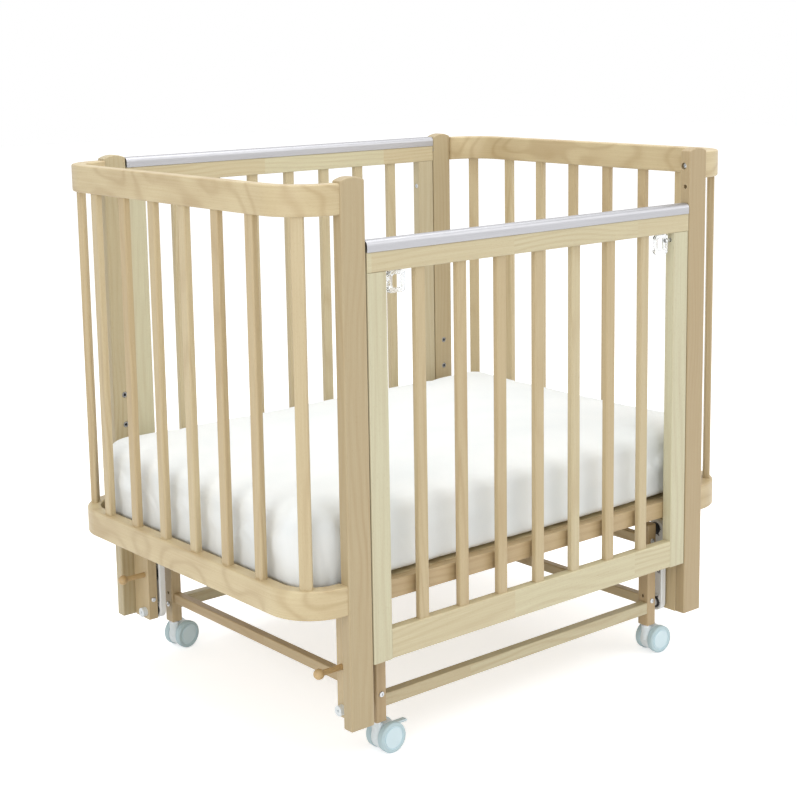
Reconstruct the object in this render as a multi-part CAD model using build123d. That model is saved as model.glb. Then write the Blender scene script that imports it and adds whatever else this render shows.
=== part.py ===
from build123d import *
import math
import os

# Pendulum crib: a slatted crib body hangs on four short links from a low base on casters, so it
# can swing across its width. Four wooden pegs lock the swing. The front side slides up and down.
# Millimetres. X runs along the crib, the drop side faces -Y, +Z is up, and the origin is on the
# floor under the middle of the crib.

# Posts
post_foot_z = 74.0
post_height = 840.0
post_crown = 5.5
post_width = 44.5
post_depth = 20.6
post_span = 811.0
crib_width = 700.0
post_arris = 2.5

# Bent end rails and their slats
rail_reach = 85.5
rail_thickness = 23.5
rail_height = 46.0
rail_corner_radius = 80.0
rail_setback = 2.5
rail_arris = 3.0
top_rail_z = 865.0
low_rail_z = 260.0
end_slat_pitch = 91.2
end_slat_count = 6
corner_slat_angle = 45.0
slat_width = 20.0
slat_thickness = 12.0
slat_arris = 3.0

# Screws that hold the bent rails on the posts
rail_screw_radius = 3.0
rail_screw_head_radius = 5.0
rail_screw_head_length = 5.0
rail_screw_pocket_radius = 6.0
rail_screw_pocket_depth = 9.0
rail_screw_grip = 24.0
rail_screw_offset = 0.5
rail_insert_radius = 5.0
rail_insert_length = 20.0
screw_clearance = 0.3
socket_radius = 2.2
socket_depth = 3.0
thread_gap = 0.05

# Side panels: the front one slides, the back one is screwed on at the raised height
side_gap = 1.9
side_thickness = 20.0
side_foot_z = 171.0
side_top_z = 824.0
side_travel = 90.0
stile_width = 36.75
side_low_rail_height = 48.0
side_top_rail_height = 31.0
side_rail_relief = 1.0
side_slat_count = 7
side_slat_pitch = 84.3
cap_height = 18.0
cap_width = 22.0
cap_wall = 1.8
cap_crown_radius = 8.0
side_arris = 2.0
back_screw_radius = 3.0
back_screw_head_radius = 4.8
back_screw_head_length = 3.0
back_screw_pocket = 3.5
back_screw_grip = 22.0
back_screw_low_z = 326.0
back_screw_high_z = 815.0

# Guide pins of the drop side and the grooves in the front posts
guide_pin_radius = 3.5
guide_pin_reach = 4.6
guide_pin_depth = 15.0
guide_low_pin_z = 186.0
guide_high_pin_z = 596.0
guide_groove_depth = 6.0
guide_clearance = 0.3

# Latches of the drop side
latch_pin_z = 762.0
latch_pin_radius = 3.5
latch_pin_inset = 0.4
latch_travel = 10.0
latch_gap = 10.5
latch_width = 30.0
latch_height = 33.0
latch_thickness = 8.0
latch_frame = 5.0
latch_frame_foot = 6.5
latch_pin_drop = 11.0
latch_corner = 4.0
latch_clearance = 0.3
latch_hole_spare = 2.0

# Bed base and mattress
bed_rail_thickness = 18.0
bed_rail_foot_z = 258.5
bed_top_z = 288.0
bed_rail_end_inset = 1.5
bed_board_thickness = 8.0
bed_board_gap = 4.0
batten_width = 40.0
batten_height = 18.0
batten_count = 5
batten_span = 700.0
vent_length = 60.0
vent_width = 12.0
vent_columns = 7
vent_rows = 3
vent_pitch_x = 110.0
vent_pitch_y = 170.0
insert_outer_radius = 5.5
insert_bore_radius = 3.0
insert_length = 12.0
insert_low_z = 432.5
insert_spacing = 55.0
bed_screw_z = 273.0
bed_screw_radius = 3.0
bed_screw_head_radius = 4.6
bed_screw_head_length = 2.6
bed_screw_pocket = 3.0
bed_screw_grip = 12.0
bed_board_corner = 40.0
mattress_height = 133.0
mattress_gap = 1.5
mattress_edge_radius = 32.0
mattress_foot_radius = 8.0
mattress_waist = 3.0
mattress_crown = 6.0

# Blocks on the posts that carry the swing
block_thickness = 19.0
block_width = 48.5
block_height = 170.0
block_screw_radius = 3.0
block_screw_head_radius = 4.5
block_screw_head_height = 2.5
block_screw_offsets = (37.0, 135.0)
block_screw_grip = 12.0

# Swing links
link_inner_x = 345.5
link_thickness = 12.0
link_half_width = 16.0
link_y = 294.0
low_pivot_z = 87.0
pivot_spacing = 140.0
lock_rise = 70.0
link_pocket_depth = 3.0
link_wall = 3.5
link_arris = 2.0
bush_radius = 11.0
bush_core_radius = 8.0
bush_flange = 1.0
pivot_pin_radius = 4.0
pivot_running_gap = 0.06
pivot_side_gap = 0.3
pivot_clip_radius = 7.0
pivot_clip_thickness = 1.6
pivot_cap_radius = 8.5
pivot_cap_length = 9.0
spacer_radius = 9.0

# Locking pegs
peg_radius = 4.7
peg_hole_clearance = 0.4
peg_knob_radius = 8.7
peg_exposed = 44.0
peg_tip_inset = 0.3

# Base frame
leg_width = 21.0
leg_depth = 24.0
leg_inner_x = 306.0
leg_outer_y = 312.0
leg_foot_z = 53.0
leg_top_z = 244.0
leg_arris = 2.5
base_arris = 2.0
long_stretcher_thickness = 18.0
long_stretcher_height = 21.0
long_stretcher_z = 76.5
long_stretcher_setback = 1.5
cross_rail_thickness = 16.0
cross_rail_height = 18.0
low_cross_rail_z = 91.0
high_cross_rail_z = 204.0
cross_rail_setback = 4.0
base_screw_radius = 2.5
base_screw_head_radius = 4.6
base_screw_head_height = 2.2
base_screw_grip = 34.0
spare_hole_radius = 3.0
spare_hole_z = 108.5
leg_pin_depth = 14.0

# Casters
wheel_radius = 25.0
wheel_width = 11.5
wheel_inner_y = 9.5
wheel_edge_radius = 2.5
wheel_dish_radius = 19.0
wheel_dish_depth = 1.2
wheel_cap_radius = 16.5
wheel_axle_inset = 2.5
caster_trail = 17.0
caster_hood_radius = 23.5
caster_hood_half_width = 8.7
caster_boss_radius = 9.0
caster_top_gap = 0.3
caster_flange_radius = 9.5
caster_flange_height = 2.2
caster_stem_radius = 4.0
caster_stem_length = 24.0
caster_stem_seat = 8.5
caster_socket_radius = 7.0
caster_socket_length = 28.0
caster_running_gap = 0.08
caster_axle_radius = 3.0
caster_floor_cut = 7.0
brake_pin_x = 30.0
brake_pin_z = 39.0
brake_pin_radius = 1.8
brake_half_width = 4.5
brake_length = 27.0
brake_thickness = 4.0
brake_gap = 1.2
brake_travel = 12.0

# Which way each caster trails, in degrees from +X, as the crib was left standing
caster_heading = {"front_left": -1.0, "front_right": -4.0, "back_left": 9.0, "back_right": 5.0}
braked_casters = ("front_left", "back_right")

corners = {"front_left": (-1, -1), "front_right": (1, -1), "back_left": (-1, 1), "back_right": (1, 1)}
ends = {"left": -1, "right": 1}

# Places that follow from the sizes above
post_outer_x = post_span / 2
post_inner_x = post_outer_x - post_width
post_mid_x = post_outer_x - post_width / 2
post_outer_y = crib_width / 2
post_inner_y = post_outer_y - post_depth
post_top_z = post_foot_z + post_height
rail_outer_x = post_outer_x + rail_reach
rail_outer_y = post_outer_y - rail_setback
rail_mid_y = rail_outer_y - rail_thickness / 2
rail_mid_x = rail_outer_x - rail_thickness / 2
rail_screw_y = rail_mid_y + rail_screw_offset
rail_levels = (low_rail_z, top_rail_z)
end_slat_foot_z = low_rail_z + rail_height
side_half_x = post_inner_x - side_gap
side_mid_y = post_outer_y - side_thickness / 2
stile_inner_x = side_half_x - stile_width
side_top_rail_z = side_top_z - cap_height - side_top_rail_height
side_slat_foot_z = side_foot_z + side_low_rail_height
bed_rail_inner_y = post_inner_y - bed_rail_thickness
bed_board_half_x = rail_outer_x - rail_thickness - bed_board_gap
block_outer_x = post_inner_x + block_thickness
block_inner_y = post_inner_y - block_width
high_pivot_z = low_pivot_z + pivot_spacing
lock_z = low_pivot_z + lock_rise
link_outer_x = link_inner_x + link_thickness
leg_outer_x = leg_inner_x + leg_width
leg_mid_x = leg_inner_x + leg_width / 2
leg_inner_y = leg_outer_y - leg_depth
leg_mid_y = leg_outer_y - leg_depth / 2
pin_bore_radius = pivot_pin_radius + pivot_running_gap
caster_top_z = leg_foot_z - caster_top_gap
side_inner_y = post_outer_y - side_thickness
back_screw_seat_x = stile_inner_x + back_screw_pocket
back_screw_levels = (back_screw_low_z, back_screw_high_z)
bed_screw_tip_y = post_inner_y + bed_screw_grip
bed_screw_bore_radius = bed_screw_radius + screw_clearance
block_mid_x = post_inner_x + block_thickness / 2
block_screw_levels = tuple(post_foot_z + offset_z for offset_z in block_screw_offsets)
block_screw_tip_y = post_inner_y + block_screw_grip
block_screw_bore_radius = block_screw_radius + screw_clearance
bush_inner_x = link_inner_x - bush_flange
bush_outer_x = link_outer_x + bush_flange
peg_bore_radius = peg_radius + peg_hole_clearance
long_screw_z = long_stretcher_z + long_stretcher_height / 2
cross_screw_levels = tuple(foot + cross_rail_height / 2 for foot in (low_cross_rail_z, high_cross_rail_z))
base_screw_bore_radius = base_screw_radius + screw_clearance
wheel_axle_half = wheel_inner_y + wheel_width - wheel_axle_inset

# Turns that lay a round bar along each axis
turns = {"X": Rotation(0, 90, 0), "Y": Rotation(90, 0, 0), "Z": Rotation(0, 0, 0)}


def span(sign, near, far):
    """Low and high ends of a stretch from near to far on one side of the middle."""
    return tuple(sorted((sign * near, sign * far)))


def slab(x, y, z):
    """Box whose low and high ends along each axis are given."""
    size = [high - low for low, high in (x, y, z)]
    centre = [(high + low) / 2 for low, high in (x, y, z)]
    return Pos(*centre) * Box(*size)


def bar(x, y, z, along, arris):
    """Wooden bar with its long edges rounded."""
    blank = slab(x, y, z)
    return fillet(blank.edges().filter_by(along), arris)


def rod(axis, reach, across, radius):
    """Round bar along one axis; across holds its two other coordinates in X, Y, Z order."""
    low, high = sorted(reach)
    spot = list(across)
    spot.insert("XYZ".index(axis), (low + high) / 2)
    return Pos(*spot) * turns[axis] * Cylinder(radius, high - low)


def tube(axis, reach, across, radius, bore):
    """Round bar with a bore along it."""
    return rod(axis, reach, across, radius) - rod(axis, reach, across, bore)


def screw(axis, across, seat, tip, head_end, radius, head_radius):
    """Screw with a round head and a blind socket; seat, tip and head_end lie along its axis."""
    outward = 1 if head_end > seat else -1
    floor = head_end - outward * min(socket_depth, abs(head_end - seat) * 0.7)
    shank = rod(axis, (seat, tip), across, radius)
    head = rod(axis, (seat, head_end), across, head_radius)
    socket = rod(axis, (floor, head_end + outward), across, socket_radius)
    return shank + head - socket


def group(pieces):
    """Separate pieces that share one name."""
    return Compound(children=[solid for piece in pieces for solid in piece.solids()])


def rail_screw_spots(sign_y):
    """Where the screws of the two bent rails cross a post: their Y and Z."""
    return [(sign_y * rail_screw_y, level + rail_height / 2) for level in rail_levels]


def post(sign_x, sign_y):
    """Upright with an arched top, cut for everything that is fastened to it."""
    low_x, high_x = span(sign_x, post_inner_x, post_outer_x)
    low_y, high_y = span(sign_y, post_inner_y, post_outer_y)
    sides = Polyline(
        (low_x, low_y, post_top_z),
        (low_x, low_y, post_foot_z),
        (high_x, low_y, post_foot_z),
        (high_x, low_y, post_top_z),
    )
    crown = ThreePointArc(
        (high_x, low_y, post_top_z),
        ((low_x + high_x) / 2, low_y, post_top_z + post_crown),
        (low_x, low_y, post_top_z),
    )
    blank = extrude(make_face(sides + crown), amount=post_depth, dir=(0, 1, 0))
    body = fillet(blank.edges(), post_arris)
    inside = sign_x * (post_inner_x - 1)
    for spot in rail_screw_spots(sign_y):
        body -= rod("X", (inside, sign_x * (post_outer_x + 1)), spot, rail_screw_radius + screw_clearance)
        pocket_floor = sign_x * (post_inner_x + rail_screw_pocket_depth)
        body -= rod("X", (inside, pocket_floor), spot, rail_screw_pocket_radius)
    mouth = sign_y * (post_inner_y - 1)
    for z in (insert_low_z, insert_low_z + insert_spacing):
        floor = sign_y * (post_inner_y + insert_length)
        body -= rod("Y", (mouth, floor), (sign_x * post_mid_x, z), insert_outer_radius)
    bore = (mouth, sign_y * bed_screw_tip_y)
    body -= rod("Y", bore, (sign_x * post_mid_x, bed_screw_z), bed_screw_bore_radius)
    bore = (mouth, sign_y * block_screw_tip_y)
    for z in block_screw_levels:
        body -= rod("Y", bore, (sign_x * block_mid_x, z), block_screw_bore_radius)
    if sign_y < 0:
        return body - drop_side_cuts(sign_x)
    for z in back_screw_levels:
        tip = sign_x * (post_inner_x + back_screw_grip)
        body -= rod("X", (inside, tip), (side_mid_y, z), back_screw_radius + screw_clearance)
    return body


def drop_side_cuts(sign_x):
    """Groove for the guide pins and the two latch holes in a front post."""
    half = guide_pin_radius + guide_clearance
    groove = slab(
        span(sign_x, post_inner_x - 1, post_inner_x + guide_groove_depth),
        (-side_mid_y - half, -side_mid_y + half),
        (guide_low_pin_z - half, guide_high_pin_z + side_travel + half),
    )
    for z in (latch_pin_z, latch_pin_z + side_travel):
        hole = (sign_x * (post_inner_x - 1), sign_x * (side_half_x + latch_travel + latch_hole_spare))
        groove += rod("X", hole, (-side_mid_y, z), latch_pin_radius + latch_clearance)
    return groove


def bent_rail(end, foot_z):
    """Rail bent round one end of the crib, from post to post."""
    outside = RectangleRounded(2 * rail_outer_x, 2 * rail_outer_y, rail_corner_radius)
    inside = RectangleRounded(
        2 * (rail_outer_x - rail_thickness),
        2 * (rail_outer_y - rail_thickness),
        rail_corner_radius - rail_thickness,
    )
    ring = extrude(Pos(0, 0, foot_z) * (outside - inside), amount=rail_height)
    keep = slab(
        span(end, post_outer_x, rail_outer_x + 1),
        (-rail_outer_y - 1, rail_outer_y + 1),
        (foot_z - 1, foot_z + rail_height + 1),
    )
    blank = ring & keep
    long_edges = [
        edge
        for edge in blank.edges()
        if edge.bounding_box().size.Z < 1e-3 and abs(abs(edge.center().X) - post_outer_x) > 1
    ]
    body = fillet(long_edges, rail_arris)
    start = end * (post_outer_x - 1)
    for sign_y in (-1, 1):
        spot = (sign_y * rail_screw_y, foot_z + rail_height / 2)
        body -= rod("X", (start, end * (post_outer_x + rail_insert_length)), spot, rail_insert_radius)
        tip = end * (post_outer_x + rail_screw_grip + 1)
        body -= rod("X", (start, tip), spot, rail_screw_radius + screw_clearance)
    return body


def end_slats(end):
    """Upright slats of one end: a row on the flank and one on each bend."""
    length = top_rail_z - end_slat_foot_z
    middle = (top_rail_z + end_slat_foot_z) / 2
    blank = Box(slat_thickness, slat_width, length)
    slat = fillet(blank.edges().filter_by(Axis.Z), slat_arris)
    first = -(end_slat_count - 1) / 2
    slats = [
        Pos(end * rail_mid_x, (first + index) * end_slat_pitch, middle) * slat
        for index in range(end_slat_count)
    ]
    bend_radius = rail_corner_radius - rail_thickness / 2
    turn = math.radians(corner_slat_angle)
    for sign_y in (-1, 1):
        x = end * (rail_outer_x - rail_corner_radius + bend_radius * math.cos(turn))
        y = sign_y * (rail_outer_y - rail_corner_radius + bend_radius * math.sin(turn))
        slats.append(Pos(x, y, middle) * Rotation(0, 0, end * sign_y * corner_slat_angle) * slat)
    return group(slats)


def rail_screws():
    """Screws that run from inside the posts into the ends of the bent rails."""
    screws = []
    for sign_x, sign_y in corners.values():
        seat = sign_x * (post_inner_x + rail_screw_pocket_depth)
        head_end = seat - sign_x * rail_screw_head_length
        tip = sign_x * (post_outer_x + rail_screw_grip)
        for spot in rail_screw_spots(sign_y):
            screws.append(
                screw("X", spot, seat, tip, head_end, rail_screw_radius, rail_screw_head_radius)
            )
    return group(screws)


def rail_inserts():
    """Threaded sleeves in the ends of the bent rails."""
    sleeves = []
    for sign_x, sign_y in corners.values():
        reach = (sign_x * post_outer_x, sign_x * (post_outer_x + rail_insert_length))
        for spot in rail_screw_spots(sign_y):
            sleeves.append(tube("X", reach, spot, rail_insert_radius, rail_screw_radius + thread_gap))
    return group(sleeves)


def bed_height_inserts():
    """Threaded sleeves in the posts for the two higher bed positions."""
    sleeves = []
    for sign_x, sign_y in corners.values():
        reach = (sign_y * post_inner_y, sign_y * (post_inner_y + insert_length))
        for z in (insert_low_z, insert_low_z + insert_spacing):
            spot = (sign_x * post_mid_x, z)
            sleeves.append(tube("Y", reach, spot, insert_outer_radius, insert_bore_radius))
    return group(sleeves)


def side_stiles(sign_y, lift):
    """Two uprights of a side panel."""
    z = (side_foot_z + lift, side_top_rail_z + lift)
    y = span(sign_y, side_inner_y, post_outer_y)
    stiles = []
    for sign_x in ends.values():
        stile = bar(span(sign_x, stile_inner_x, side_half_x), y, z, Axis.Z, side_arris)
        through = (sign_x * (stile_inner_x - 1), sign_x * (side_half_x + 1))
        if sign_y < 0:
            spot = (-side_mid_y, latch_pin_z)
            stile -= rod("X", through, spot, latch_pin_radius + latch_clearance)
            for pin_z in (guide_low_pin_z, guide_high_pin_z):
                socket = (sign_x * (side_half_x - guide_pin_depth), sign_x * (side_half_x + 1))
                stile -= rod("X", socket, (-side_mid_y, pin_z), guide_pin_radius)
        else:
            for screw_z in back_screw_levels:
                spot = (side_mid_y, screw_z)
                stile -= rod("X", through, spot, back_screw_radius + screw_clearance)
                pocket = (sign_x * (stile_inner_x - 1), sign_x * back_screw_seat_x)
                stile -= rod("X", pocket, spot, back_screw_head_radius + screw_clearance)
        stiles.append(stile)
    return group(stiles)


def side_top_rail(sign_y, lift):
    """Upper wooden rail of a side panel, over the stiles."""
    z = (side_top_rail_z + lift, side_top_rail_z + side_top_rail_height + lift)
    y = span(sign_y, side_inner_y, post_outer_y)
    return bar((-side_half_x, side_half_x), y, z, Axis.X, side_arris)


def side_low_rail(sign_y, lift):
    """Lower rail of a side panel, between the stiles and a little thinner."""
    z = (side_foot_z + lift, side_slat_foot_z + lift)
    y = span(sign_y, side_inner_y + side_rail_relief, post_outer_y - side_rail_relief)
    return bar((-stile_inner_x, stile_inner_x), y, z, Axis.X, side_arris)


def side_slats(sign_y, lift):
    """Row of slats between the two rails of a side panel."""
    z = (side_slat_foot_z + lift, side_top_rail_z + lift)
    y = (sign_y * side_mid_y - slat_thickness / 2, sign_y * side_mid_y + slat_thickness / 2)
    first = -(side_slat_count - 1) / 2
    middles = [(first + index) * side_slat_pitch for index in range(side_slat_count)]
    return group(
        [bar((x - slat_width / 2, x + slat_width / 2), y, z, Axis.Z, slat_arris) for x in middles]
    )


def side_cap(sign_y, lift):
    """Hollow metal rail with a rounded top along the upper edge of a side panel."""
    blank = Rectangle(cap_width, cap_height)
    shape = fillet(blank.vertices().group_by(Axis.Y)[-1], cap_crown_radius)
    profile = shape - offset(shape, -cap_wall)
    middle = (-side_half_x, sign_y * side_mid_y, side_top_z - cap_height / 2 + lift)
    start = Plane(origin=middle, x_dir=(0, 1, 0), z_dir=(1, 0, 0))
    return extrude(start * profile, amount=2 * side_half_x)


def back_side_screws():
    """Screws that run through the back stiles into the back posts."""
    screws = []
    for sign_x in ends.values():
        seat = sign_x * back_screw_seat_x
        head_end = sign_x * (back_screw_seat_x - back_screw_head_length)
        tip = sign_x * (post_inner_x + back_screw_grip - 1)
        for z in back_screw_levels:
            spot = (side_mid_y, z)
            screws.append(screw("X", spot, seat, tip, head_end, back_screw_radius, back_screw_head_radius))
    return group(screws)


def guide_pins():
    """Pins on the edges of the drop side that run in the grooves of the front posts."""
    pins = []
    for sign_x in ends.values():
        reach = (sign_x * (side_half_x - guide_pin_depth), sign_x * (side_half_x + guide_pin_reach))
        for z in (guide_low_pin_z, guide_high_pin_z):
            pins.append(rod("X", reach, (-side_mid_y, z), guide_pin_radius))
    return group(pins)


def latch(end):
    """Clear finger loop with the pin that drops into a post."""
    near = stile_inner_x - latch_gap
    far = near - latch_width
    top = latch_pin_z + latch_pin_drop
    foot = top - latch_height
    y = (-side_mid_y - latch_thickness / 2, -side_mid_y + latch_thickness / 2)
    frame = slab(span(end, far, near), y, (foot, top))
    frame = fillet(frame.edges().filter_by(Axis.Y), latch_corner)
    hole = slab(
        span(end, far + latch_frame, near - latch_frame),
        (y[0] - 1, y[1] + 1),
        (foot + latch_frame_foot, top - latch_frame),
    )
    hole = fillet(hole.edges().filter_by(Axis.Y), latch_corner)
    pin_ends = (end * (near - latch_frame / 2), end * (side_half_x - latch_pin_inset))
    return frame - hole + rod("X", pin_ends, (-side_mid_y, latch_pin_z), latch_pin_radius)


def bed_rails():
    """Front and back rails of the bed base, against the posts."""
    rails = []
    reach = post_outer_x - bed_rail_end_inset
    for sign_y in (-1, 1):
        y = span(sign_y, bed_rail_inner_y, post_inner_y)
        rail = bar((-reach, reach), y, (bed_rail_foot_z, bed_top_z), Axis.X, side_arris)
        for sign_x in ends.values():
            spot = (sign_x * post_mid_x, bed_screw_z)
            mouth = sign_y * (bed_rail_inner_y - 1)
            rail -= rod("Y", (mouth, sign_y * (post_inner_y + 1)), spot, bed_screw_bore_radius)
            pocket = (mouth, sign_y * (bed_rail_inner_y + bed_screw_pocket))
            rail -= rod("Y", pocket, spot, bed_screw_head_radius + screw_clearance)
        rails.append(rail)
    return group(rails)


def bed_battens():
    """Cross battens that carry the bed board."""
    z = (bed_top_z - bed_board_thickness - batten_height, bed_top_z - bed_board_thickness)
    step = batten_span / (batten_count - 1)
    middles = [-batten_span / 2 + index * step for index in range(batten_count)]
    return group(
        [
            slab((x - batten_width / 2, x + batten_width / 2), (-bed_rail_inner_y, bed_rail_inner_y), z)
            for x in middles
        ]
    )


def bed_board():
    """Board with air slots under the mattress."""
    outline = RectangleRounded(2 * bed_board_half_x, 2 * bed_rail_inner_y, bed_board_corner)
    for column in range(vent_columns):
        for row in range(vent_rows):
            x = (column - (vent_columns - 1) / 2) * vent_pitch_x
            y = (row - (vent_rows - 1) / 2) * vent_pitch_y
            outline -= Pos(x, y) * SlotOverall(vent_length, vent_width)
    return extrude(Pos(0, 0, bed_top_z - bed_board_thickness) * outline, amount=bed_board_thickness)


def bed_screws():
    """Screws that hold the bed rails on the posts at the lowest position."""
    screws = []
    for sign_x, sign_y in corners.values():
        seat = sign_y * (bed_rail_inner_y + bed_screw_pocket)
        head_end = sign_y * (bed_rail_inner_y + bed_screw_pocket - bed_screw_head_length)
        tip = sign_y * (bed_screw_tip_y - 1)
        spot = (sign_x * post_mid_x, bed_screw_z)
        screws.append(screw("Y", spot, seat, tip, head_end, bed_screw_radius, bed_screw_head_radius))
    return group(screws)


def mattress():
    """Thick soft mattress: rounded edges, sides drawn in at the waist and a crowned top."""
    half_x = rail_outer_x - rail_thickness - mattress_gap
    half_y = rail_outer_y - rail_thickness - mattress_gap
    corner_radius = rail_corner_radius - rail_thickness - mattress_gap
    edge_z = mattress_height - mattress_edge_radius
    levels = [(0, mattress_foot_radius), (mattress_foot_radius / 3, mattress_foot_radius / 3)]
    levels += [(mattress_foot_radius, 0), (edge_z / 2, mattress_waist), (edge_z, 0)]
    for angle in (22.5, 45.0, 67.5, 90.0):
        turn = math.radians(angle)
        rise = mattress_edge_radius * math.sin(turn)
        levels.append((edge_z + rise, mattress_edge_radius * (1 - math.cos(turn))))
    levels.append((mattress_height + mattress_crown * 0.7, mattress_edge_radius + 60))
    levels.append((mattress_height + mattress_crown, mattress_edge_radius + 160))
    sections = []
    for rise, inset in levels:
        corner = max(corner_radius - inset, corner_radius / 3)
        outline = RectangleRounded(2 * (half_x - inset), 2 * (half_y - inset), corner)
        sections.append(Pos(0, 0, bed_top_z + rise) * outline)
    return loft(sections, ruled=True)


def pendulum_blocks():
    """Blocks beside the posts that carry the low pivots and the pegs."""
    blocks = []
    for sign_x, sign_y in corners.values():
        x = span(sign_x, post_inner_x, block_outer_x)
        y = span(sign_y, block_inner_y, post_inner_y)
        block = bar(x, y, (post_foot_z, post_foot_z + block_height), Axis.Z, side_arris)
        across = (sign_x * (post_inner_x - 1), sign_x * (block_outer_x + 1))
        block -= rod("X", across, (sign_y * link_y, low_pivot_z), pivot_pin_radius + thread_gap)
        block -= rod("X", across, (sign_y * link_y, lock_z), peg_radius + peg_hole_clearance)
        through = (sign_y * (block_inner_y - 1), sign_y * (post_inner_y + 1))
        for z in block_screw_levels:
            block -= rod("Y", through, (sign_x * block_mid_x, z), block_screw_bore_radius)
        blocks.append(block)
    return group(blocks)


def block_screws():
    """Long screws that hold the blocks on the posts."""
    screws = []
    for sign_x, sign_y in corners.values():
        seat = sign_y * block_inner_y
        head_end = sign_y * (block_inner_y - block_screw_head_height)
        tip = sign_y * (block_screw_tip_y - 1)
        for z in block_screw_levels:
            spot = (sign_x * block_mid_x, z)
            screws.append(
                screw("Y", spot, seat, tip, head_end, block_screw_radius, block_screw_head_radius)
            )
    return group(screws)


def link_and_bushes(sign_x, sign_y):
    """Moulded swing link with a bush at each pivot and one for the locking peg."""
    x = span(sign_x, link_inner_x, link_outer_x)
    y = sign_y * link_y
    strap = slab(x, (y - link_half_width, y + link_half_width), (low_pivot_z, high_pivot_z))
    for z in (low_pivot_z, high_pivot_z):
        strap += rod("X", x, (y, z), link_half_width)
    rims = [edge for edge in strap.edges() if edge.bounding_box().size.X < 1e-3]
    strap = fillet(rims, link_arris)
    pocket_half = link_half_width - link_wall
    for low, high in ((low_pivot_z, lock_z), (lock_z, high_pivot_z)):
        z = (low + bush_radius + link_wall, high - bush_radius - link_wall)
        for face, inward in ((x[0], 1), (x[1], -1)):
            depth = sorted((face - inward, face + inward * link_pocket_depth))
            pocket = slab(depth, (y - pocket_half, y + pocket_half), z)
            strap -= fillet(pocket.edges().filter_by(Axis.X), link_wall)
    pieces = []
    bores = {low_pivot_z: pin_bore_radius, lock_z: peg_bore_radius, high_pivot_z: pin_bore_radius}
    for z, bore in bores.items():
        strap -= rod("X", x, (y, z), bush_core_radius)
        bush = rod("X", x, (y, z), bush_core_radius)
        bush += rod("X", (x[0] - bush_flange, x[0]), (y, z), bush_radius)
        bush += rod("X", (x[1], x[1] + bush_flange), (y, z), bush_radius)
        pieces.append(bush - rod("X", (x[0] - 2, x[1] + 2), (y, z), bore))
    return group([strap] + pieces)


def high_pivots():
    """Pins and spacers on the base legs that the links hang from."""
    pieces = []
    for sign_x, sign_y in corners.values():
        spot = (sign_y * link_y, high_pivot_z)
        spacer_end = bush_inner_x - pivot_side_gap
        clip = (bush_outer_x + pivot_side_gap, bush_outer_x + pivot_side_gap + pivot_clip_thickness)
        shank = (sign_x * (leg_outer_x - leg_pin_depth), sign_x * clip[1])
        pin = rod("X", shank, spot, pivot_pin_radius)
        pieces.append(pin + rod("X", [sign_x * place for place in clip], spot, pivot_clip_radius))
        ends_x = (sign_x * leg_outer_x, sign_x * spacer_end)
        pieces.append(tube("X", ends_x, spot, spacer_radius, pivot_pin_radius + thread_gap))
    return group(pieces)


def low_pivots():
    """Capped pins and washers on the blocks that the crib hangs by."""
    pieces = []
    for sign_x, sign_y in corners.values():
        spot = (sign_y * link_y, low_pivot_z)
        cap_end = sign_x * (block_outer_x + pivot_cap_length)
        clip = (bush_inner_x - pivot_side_gap, bush_inner_x - pivot_side_gap - pivot_clip_thickness)
        pin = screw(
            "X", spot, sign_x * block_outer_x, sign_x * clip[1], cap_end, pivot_pin_radius, pivot_cap_radius
        )
        pieces.append(pin + rod("X", [sign_x * place for place in clip], spot, pivot_clip_radius))
        washer = (sign_x * (bush_outer_x + pivot_side_gap), sign_x * post_inner_x)
        pieces.append(tube("X", washer, spot, bush_core_radius, pivot_pin_radius + thread_gap))
    return group(pieces)


def peg(sign_x, sign_y):
    """Wooden locking peg with a ball knob, shown pulled out."""
    spot = (sign_y * link_y, lock_z)
    knob_x = block_outer_x + peg_exposed
    dowel = rod("X", (sign_x * (post_inner_x + peg_tip_inset), sign_x * knob_x), spot, peg_radius)
    return dowel + Pos(sign_x * knob_x, *spot) * turns["X"] * Sphere(peg_knob_radius)


def base_legs():
    """Four short legs of the base."""
    legs = []
    for sign_x, sign_y in corners.values():
        x = span(sign_x, leg_inner_x, leg_outer_x)
        y = span(sign_y, leg_inner_y, leg_outer_y)
        blank = slab(x, y, (leg_foot_z, leg_top_z))
        leg = fillet(blank.edges(), leg_arris)
        pin_ends = (sign_x * (leg_outer_x - leg_pin_depth), sign_x * (leg_outer_x + 1))
        leg -= rod("X", pin_ends, (sign_y * link_y, high_pivot_z), pivot_pin_radius + thread_gap)
        across = (sign_x * (leg_inner_x - 1), sign_x * (leg_outer_x + 1))
        leg -= rod("X", across, (sign_y * leg_mid_y, spare_hole_z), spare_hole_radius)
        leg -= rod("X", across, (sign_y * leg_mid_y, long_screw_z), base_screw_bore_radius)
        through = (sign_y * (leg_inner_y - 1), sign_y * (leg_outer_y + 1))
        for z in cross_screw_levels:
            leg -= rod("Y", through, (sign_x * leg_mid_x, z), base_screw_bore_radius)
        well = (leg_foot_z - 1, leg_foot_z + caster_socket_length)
        leg -= rod("Z", well, (sign_x * leg_mid_x, sign_y * leg_mid_y), caster_socket_radius)
        legs.append(leg)
    return group(legs)


def long_stretchers():
    """Front and back stretchers of the base."""
    stretchers = []
    for sign_y in (-1, 1):
        far = leg_outer_y - long_stretcher_setback
        y = span(sign_y, far - long_stretcher_thickness, far)
        z = (long_stretcher_z, long_stretcher_z + long_stretcher_height)
        stretcher = bar((-leg_inner_x, leg_inner_x), y, z, Axis.X, base_arris)
        for sign_x in ends.values():
            hole = (sign_x * (leg_outer_x - base_screw_grip - 1), sign_x * (leg_inner_x + 1))
            stretcher -= rod("X", hole, (sign_y * leg_mid_y, long_screw_z), base_screw_bore_radius)
        stretchers.append(stretcher)
    return group(stretchers)


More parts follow.
